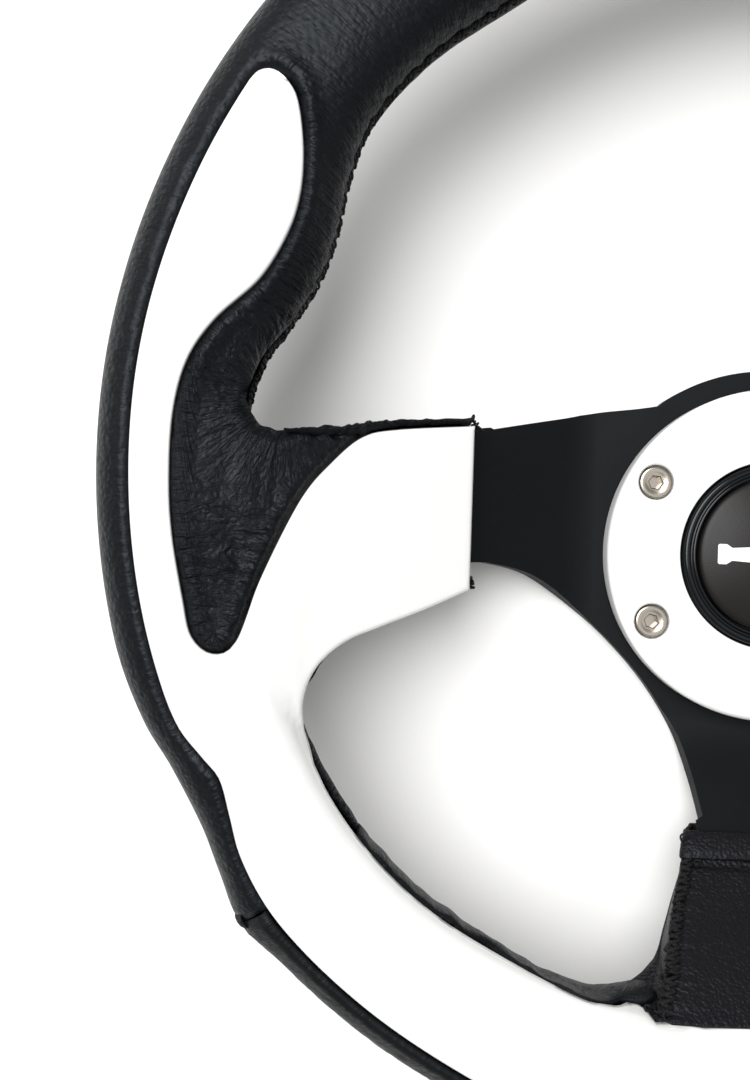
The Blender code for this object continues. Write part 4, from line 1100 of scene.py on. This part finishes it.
def make_collar():
    """The folded band round the top of the bottom spoke's cover."""
    net = cover_net()[:2]
    step = net[1] - net[0]
    net = refine(np.stack([net[0] + t * step for t in (-0.26, 0.0, 0.3, 0.62)]), 6,
                 COVER_FINE)
    down, across = grid_lengths(net)
    share = down / down[-1]
    last = net.shape[1] - 1
    reach = np.minimum(np.arange(last + 1), last - np.arange(last + 1)) / EDGE_COLUMN
    lift = 0.35 + 0.95 * smoothstep(0.75, 1.15, reach)[None, :]
    lumps = lift * (0.25 + 0.75 * np.clip(np.sin(np.pi * share), 0, 1) ** 0.4) + 0.25
    lumps += 0.15 * waves(across, (5.2, 3.3, 2.1), 61)
    net = net + surface_normals(net) * lumps[..., None]
    sheet_object("spoke_collar", net, panel_hide, "bottom_spoke_collar", 0.2, 0.9, True)


def make_gather(name, side, node_name, seed):
    """The bunched hide along the top of a side spoke, which thins to a raw edge."""
    path = spline([(-120.6, 6.3), (-118.0, 6.2), (-113.0, 6.6), (-107.5, 7.2),
                   (-101.0, 8.9), (-95.0, 10.2), (-88.0, 11.1), (-79.0, 12.0)], 0.55)
    size = np.interp(path[:, 0], (-120.6, -117, -112, -104, -98, -92, -79),
                     (0.2, 0.7, 1.1, 1.25, 0.8, 0.5, 0.35))
    along = np.arange(len(path)) * 0.55
    around = np.linspace(0, math.tau, 15)[:-1]
    rows = []
    for s, (x, y), radius in zip(along, path, size):
        radius = radius * (1 + 0.35 * waves(s + 1.2 * np.sin(around + s / 3), (4.3, 2.9, 1.7),
                                            seed))
        centre = front_height(np.array([x, y])) - 1.0
        rows.append(np.column_stack([np.full(len(around), x),
                                     y - 0.1 + radius * np.cos(around),
                                     centre + radius * np.sin(around)]))
    net = np.array(rows) * (side, 1, 1)
    faces = grid_faces(len(net), len(around), closed=True, flip=side > 0)
    ends = (len(net) - 1) * len(around) + np.arange(len(around))
    caps = [tuple(range(len(around)))[::side], tuple(ends)[::-side]]
    item = make_object(name, net.reshape(-1, 3), faces + caps, hide, [node_name])
    turns = np.broadcast_to(around * 1.1, net.shape[:2])
    set_uv(item, turns.ravel() * 3, np.repeat(along, len(around)))
    set_value(item, "crease", np.full(net.shape[0] * net.shape[1], 1.2))


def make_scraps(name, side, node_name, seed):
    """Loose ends of hide and thread at the cut end of a side spoke's cover."""
    dice = np.random.default_rng(seed)
    paths, sizes = [], []
    for spot in ((-78.2, 10.9, 27.6), (-78.2, -25.6, 26.4)):
        for _ in range(9):
            start = np.array(spot) + dice.uniform(-1, 1, 3) * (0.8, 1.3, 0.9)
            heading = np.array([1.0, 0.4 * np.sign(spot[1]), 0.1])
            heading = heading + dice.uniform(-1, 1, 3) * (0.3, 0.9, 0.5)
            bend = dice.uniform(-1, 1, 3) * 1.1
            t = np.linspace(0, 1, 7)[:, None]
            reach = dice.uniform(0.4, 1.1)
            paths.append((start + heading * t * reach + bend * t * t) * (side, 1, 1))
            sizes.append(dice.uniform(0.3, 0.6) * np.linspace(1, 0.7, 7))
    tubes(name, paths, sizes, hide_smooth, [node_name])


# ---- stitching


def rim_stitch(ends, lift):
    """A stitch between two (clock, turn) places that bows out from the leather."""
    (c0, t0), (c1, t1) = ends
    share = np.linspace(0, 1, 5)
    points, out = rim_points(c0 + (c1 - c0) * share, t0 + (t1 - t0) * share)
    rise = -0.25 + lift * np.sin(np.pi * share) ** 0.7
    return points + out * rise[:, None]


def make_stitches():
    """The window's seam, the two panel seams and the bottom cover's edges."""
    paths = []
    for k, clock in enumerate(spread(-84, 84, 1.15)):
        paths.append(rim_stitch(((clock, 176.0), (clock + 0.55, 184.5)), 0.55))
        if k % 2:
            paths.append(rim_stitch(((clock + 0.55, 176.0), (clock + 1.15, 184.5)), 0.45))
    tubes("upper_seam_stitches", paths, 0.3, thread, ["upper_seam_thread"])
    for name, side in (("left", 1), ("right", -1)):
        paths = []
        for turn in spread(34, -84, 3.6):
            for lean in (0.8, -0.8):
                ends = ((side * (PANEL_SEAM - 0.65), turn + lean),
                        (side * (PANEL_SEAM + 0.65), turn - lean))
                paths.append(rim_stitch(ends, 0.45))
        tubes(f"{name}_panel_stitches", paths, 0.22, thread,
              [f"{name}_panel_thread"])
        paths, sizes = cover_stitches(side, np.random.default_rng(71 + side))
        tubes(f"cover_{name}_stitches", paths, sizes, thread,
              [f"cover_{name}_thread"])


def cover_stitches(side, dice):
    """Uneven cross stitches over an edge of the bottom cover, and the ends left loose."""
    edge, skirt = spline(COVER_EDGE, 0.1), spline(COVER_WALL, 0.1)
    paths, sizes = [], []
    for at in np.linspace(0.05, 0.93, 24):
        for lean in (1, -1):
            share = np.linspace(0, 1, 7)
            drift = at + lean * 0.04 * (share - 0.5) + dice.uniform(-0.008, 0.008)
            corner = edge[(np.clip(drift, 0, 1) * (len(edge) - 1)).astype(int)]
            wall = skirt[(np.clip(drift, 0, 1) * (len(skirt) - 1)).astype(int)]
            out = (wall - corner) / np.linalg.norm(wall - corner, axis=1)[:, None]
            away = 1.9 - 4.0 * share + dice.uniform(-0.3, 0.3)
            along = np.maximum(away, 0)[:, None] * out
            along = along + np.maximum(-away, 0)[:, None] * np.array([1.0, 0, 0.05])
            bow = -0.1 + dice.uniform(0.6, 1.15) * np.sin(np.pi * share) ** 0.7
            path = corner + along + bow[:, None] * np.array([-0.75, 0.2, 0.65])
            paths.append(path * (side, 1, 1))
            sizes.append(np.full(7, dice.uniform(0.38, 0.56)))
    for spot, size in (((-24.2, -85.6, 23.2), 1.0), ((-22.0, -90.4, 26.9), 0.8),
                       ((-35.2, -115.6, 52.3), 0.9), ((-39.2, -114.6, 51.2), 0.6)):
        turn = np.linspace(0.3, 5.6, 12)
        loop = np.column_stack([np.cos(turn), np.sin(turn), 0.5 * np.sin(2 * turn) + 0.3])
        paths.append((np.array(spot) + size * loop) * (side, 1, 1))
        sizes.append(np.full(12, 0.26))
    return paths, sizes


# ---- hub plate, ring, push


def circle(centre, radius, count):
    angle = math.tau * np.arange(count) / count
    return np.column_stack([centre[0] + radius * np.cos(angle),
                            centre[1] + radius * np.sin(angle)])


def bolt_places():
    """Centres of the six screws."""
    return [(BOLT_CIRCLE * math.cos(math.radians(a)),
             HUB_Y + BOLT_CIRCLE * math.sin(math.radians(a)))
            for a in (30, 90, 150, 210, 270, 330)]


def make_plate():
    """The flat hub and its three bent arms, with holes for screws and rivets."""
    start = math.degrees(math.atan2(PLATE_TOP[0][1], PLATE_TOP[0][0]))
    angles = np.radians(spread(90, start, 1.5)[:-1])
    arc = np.column_stack([np.cos(angles), np.sin(angles)]) * HUB_RADIUS
    tab_x, tab_top, tab_bottom = SIDE_TAB
    left = np.vstack([
        arc, spline(PLATE_TOP, 1.5), (-SIDE_BEND[1], tab_top), (tab_x, tab_top),
        (tab_x, tab_bottom), (-SIDE_BEND[1], tab_bottom), spline(PLATE_FLANK, 1.5),
        (BOTTOM_TAB[0], BOTTOM_TAB[1] + 20), BOTTOM_TAB])
    loop = np.vstack([left, left[:0:-1] * (-1, 1)]) + (0, HUB_Y)
    holes = [circle((0, HUB_Y), HUB_HOLE, 96)]
    holes += [circle(spot, BOLT_HOLE, 24) for spot in bolt_places()]
    for clock in RIVETS:
        spot = polar(clock, RIVET_RADIUS)
        holes.append(circle((float(spot[0]), float(spot[1])), RIVET_HOLE, 20))
    extra = well_inside(hex_grid(loop, 3.0), loop, 1.5)
    extra = extra[plate_rear(extra) > 0.0]
    for hole in holes:
        extra = extra[nearest(extra, hole, closed=True)[0] > 1.0]
        extra = extra[~inside(extra, hole)]
    flat, faces = triangulate(loop, extra, holes)
    points = np.column_stack([flat, plate_rear(flat)])
    plate = make_object("hub_plate", points, faces, plate_black,
                        ["spoke_plate"], smooth=False)
    thicken(plate, PLATE, offset=1.0, even=True)
    bevel(plate, 0.3)
    plate.data.shade_smooth()
    plate.modifiers.new("weights", "WEIGHTED_NORMAL").keep_sharp = True


def cutter_object(profile, centre, segments, turn=0.0):
    """A turned tool for drilled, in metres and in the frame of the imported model."""
    mesh = spun(profile, segments)
    cos, sin = math.cos(turn), math.sin(turn)
    for vert in mesh.verts:
        x, y, z = vert.co
        vert.co = (centre[0] + x * cos - y * sin, centre[1] + FRAME_Y + x * sin + y * cos, z)
        vert.co *= MM
    data = bpy.data.meshes.new("cutter")
    mesh.to_mesh(data)
    mesh.free()
    item = bpy.data.objects.new("cutter", data)
    bpy.context.scene.collection.objects.link(item)
    return item


def arc_profile(centre, radius, start, end, steps):
    """(radius, height) points on an arc, for rounded corners of turned pieces."""
    angles = np.radians(np.linspace(start, end, steps))
    return [(centre[0] + radius * math.cos(a), centre[1] + radius * math.sin(a))
            for a in angles]


def make_ring():
    """The horn ring, and the six socket screws that are sunk into it."""
    low, high = RING_LOW, RING_HIGH
    shoulder = arc_profile((RING_OUTER - 1.6, high - 1.6), 1.6, 0, 90, 9)
    groove = [(27.6, high), (27.35, high - 0.12), (27.05, high - 0.12), (26.8, high)]
    profile = [
        (RING_INNER, low), (RING_OUTER - 0.3, low), (RING_OUTER, low + 0.3), *shoulder,
        *groove, (RING_INNER + 0.6, high), (RING_INNER + 0.15, high - 0.18),
        (RING_INNER, high - 0.6)]
    ring = lathe("ring", profile, ring_white, ["horn_ring"], 180, closed=True)
    step = high - 3.5
    cutters = []
    for spot in bolt_places():
        wall = SCREW_HEAD + SCREW_GAP
        profile = [(0.0, low - 1), (BOLT_HOLE, low - 1), (BOLT_HOLE, step), (wall, step),
                   (wall, high - 0.35), (wall + 0.35, high), (wall + 0.35, high + 1),
                   (0.0, high + 1)]
        cutters.append(cutter_object(profile, spot, 48))
    drilled(ring, cutters)
    top = high - 0.7
    for number, spot in enumerate(bolt_places(), 1):
        head, under = SCREW_HEAD, high - 3.15
        crown = [(2.55, top - 0.12), (2.75, top - 0.02), (3.3, top), *arc_profile(
            (head - 0.55, top - 0.55), 0.55, 80, 0, 5)]
        profile = [(0.0, 0.35), (2.3, 0.35), (2.5, 0.55), (2.5, under), (head - 0.1, under),
                   (head, under + 0.1), *crown[::-1], (0.0, top - 0.25)]
        screw = lathe(f"socket_screw_{number}", profile, nickel,
                      [f"ring_screw_{number}"], 48, spot)
        corner = HEXAGON / 2 / math.cos(math.radians(30))
        socket = [(0.0, top - 2.0), (corner, top - 2.0), (corner, top - 0.42),
                  (corner + 0.3, top - 0.1), (corner + 0.3, top + 1), (0.0, top + 1)]
        drilled(screw, [cutter_object(socket, spot, 6, 0.35 + 0.9 * number)])


def cap_height(radius):
    return CAP_TOP - CAP_DOME * (radius / CAP_RADIUS) ** 2


def make_push():
    """The bezel, its domed cap, and the bugle printed on the cap."""
    profile = [
        (2.5, 1.6), (HUB_HOLE - 0.4, 1.6), (HUB_HOLE - 0.4, 4.35), (23.1, 4.35),
        *arc_profile((22.1, 10.4), 1.0, 0, 88, 9), (21.75, 11.35), (21.55, 11.0),
        (21.25, 10.82), (20.95, 10.85), (20.78, 11.08), (20.55, 11.3), (20.25, 11.35),
        (19.98, 11.22), (19.85, 10.9), (19.85, 8.75), (20.95, 8.75), (20.95, 6.0),
        (19.7, 6.0), (19.7, 3.0), (2.5, 3.0)]
    lathe("bezel", profile, bezel_black, ["horn_bezel"], 160, closed=True,
          angle=50)
    dome = [(r, cap_height(r)) for r in np.linspace(0, 18.6, 24)]
    profile = [
        *dome, (18.98, 12.22), (19.26, 12.0), (CAP_RADIUS, 11.65), (CAP_RADIUS, 8.4),
        (20.5, 8.4), (20.5, 7.7), (17.6, 7.7), (17.6, 11.0), (0.0, 11.0)]
    lathe("push_cap", profile, cap_black, ["horn_cap"], 160, body=PUSH, angle=50)
    bell = spline([(0.0, 2.7), (5.0, 3.7), (9.2, 6.0), (12.3, 9.0)], 0.5)
    tube = [(-15.3, 2.2), (-15.0, 2.5), (-13.3, 2.5), (-13.0, 2.3), (-12.0, 1.6)]
    half = np.vstack([tube, spline([(-11.0, 1.65), (-5.0, 2.1), (0.0, 2.7)], 0.8)[:-1], bell,
                      spline([(13.7, 9.0), (14.5, 4.5), (14.8, 0.0)], 0.8)])
    loop = np.vstack([half, half[-2::-1] * (1, -1)])
    flat, faces = triangulate(loop[::-1], well_inside(hex_grid(loop, 0.8), loop, 0.3))
    heights = cap_height(np.hypot(flat[:, 0], flat[:, 1])) + 0.32
    sign = make_object("bugle", np.column_stack([flat + (0, HUB_Y), heights]), faces,
                       print_white, ["horn_emblem"], PUSH, smooth=False)
    thicken(sign, 0.25, offset=1.0, even=True)
    bevel(sign, 0.08)


def make_spring():
    """The return spring, with both ends wound flat."""
    share = np.linspace(0, 1, COIL_TURNS * 28 + 1)
    rest = np.clip((share - 0.06) / 0.88, 0, 1)
    coil = np.column_stack([COIL_RADIUS * np.cos(math.tau * COIL_TURNS * share),
                            HUB_Y + COIL_RADIUS * np.sin(math.tau * COIL_TURNS * share),
                            COIL_LOW + (COIL_HIGH - COIL_LOW) * rest])
    spring = tubes("push_spring", [coil], COIL_WIRE, nickel, ["horn_spring"], 10)
    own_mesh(spring)


def finish_cad_nodes():
    """Procedural finishes for the inner pieces that stay as the CAD made them."""
    finishes = {"foam": foam, "rivet": steel, "core": steel, "contact": brass,
                "terminal": brass}
    for name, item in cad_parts.items():
        if item.hide_render:
            continue
        for word, finish in finishes.items():
            if word in name:
                item.data.materials.clear()
                item.data.materials.append(finish)


# ---- pieces

make_upper_cover()
make_lower_cover()
make_inlay()
for word, side in (("left", 1), ("right", -1)):
    make_sleeve(f"{word}_sleeve", side, f"{word}_spoke_leather", 41 + side)
    make_gather(f"{word}_gather", side, f"{word}_spoke_leather", 45 + side)
    make_scraps(f"{word}_scraps", side, f"{word}_spoke_leather", 47 + side)
make_bottom_cover()
make_collar()
make_stitches()
make_plate()
make_ring()
make_push()
make_spring()
finish_cad_nodes()

# ---- stage, light and camera


def make_stage():
    mesh = bpy.data.meshes.new("floor")
    corners = [(a * FLOOR_HALF, b * FLOOR_HALF, 0)
               for a, b in ((-1, -1), (1, -1), (1, 1), (-1, 1))]
    mesh.from_pydata(corners, [], [(0, 1, 2, 3)])
    floor = bpy.data.objects.new("floor", mesh)
    floor.location = (0, 0, -FLOOR_DROP)
    bpy.context.scene.collection.objects.link(floor)
    material, tree, shader = new_material("paper", (0.9, 0.895, 0.885), 0.85)
    join(tree, shader, Normal=bump(tree, noise(tree, place(tree), 900.0), 0.00005))
    mesh.materials.append(material)


def make_light(name, spot, size, power, colour=(1, 1, 1)):
    """A round soft light, turned to the wheel."""
    data = bpy.data.lights.new(name, "AREA")
    data.shape = "DISK"
    data.size = size
    data.energy = power
    data.color = colour
    light = bpy.data.objects.new(name, data)
    light.location = spot
    aim = LIGHT_AIM - Vector(spot)
    light.rotation_euler = aim.to_track_quat("-Z", "Y").to_euler()
    bpy.context.scene.collection.objects.link(light)


def make_view():
    data = bpy.data.cameras.new("camera")
    data.lens = CAMERA_LENS
    data.sensor_width = 36.0
    data.clip_start = 0.01
    camera = bpy.data.objects.new("camera", data)
    camera.location = CAMERA_PLACE
    camera.rotation_euler = (0, 0, math.radians(CAMERA_TURN))
    bpy.context.scene.collection.objects.link(camera)
    bpy.context.scene.camera = camera
    world = bpy.data.worlds.new("studio")
    world.use_nodes = True
    back = world.node_tree.nodes["Background"]
    back.inputs["Color"].default_value = (1.0, 0.995, 0.985, 1)
    back.inputs["Strength"].default_value = 0.36
    bpy.context.scene.world = world
    bpy.context.scene.view_settings.view_transform = "Standard"


make_stage()
make_light("key", (-0.5, 0.37, 1.2), 1.2, 26.0)
make_light("fill", (0.7, -0.35, 1.5), 1.4, 3.0, (0.97, 0.98, 1.0))
make_view()
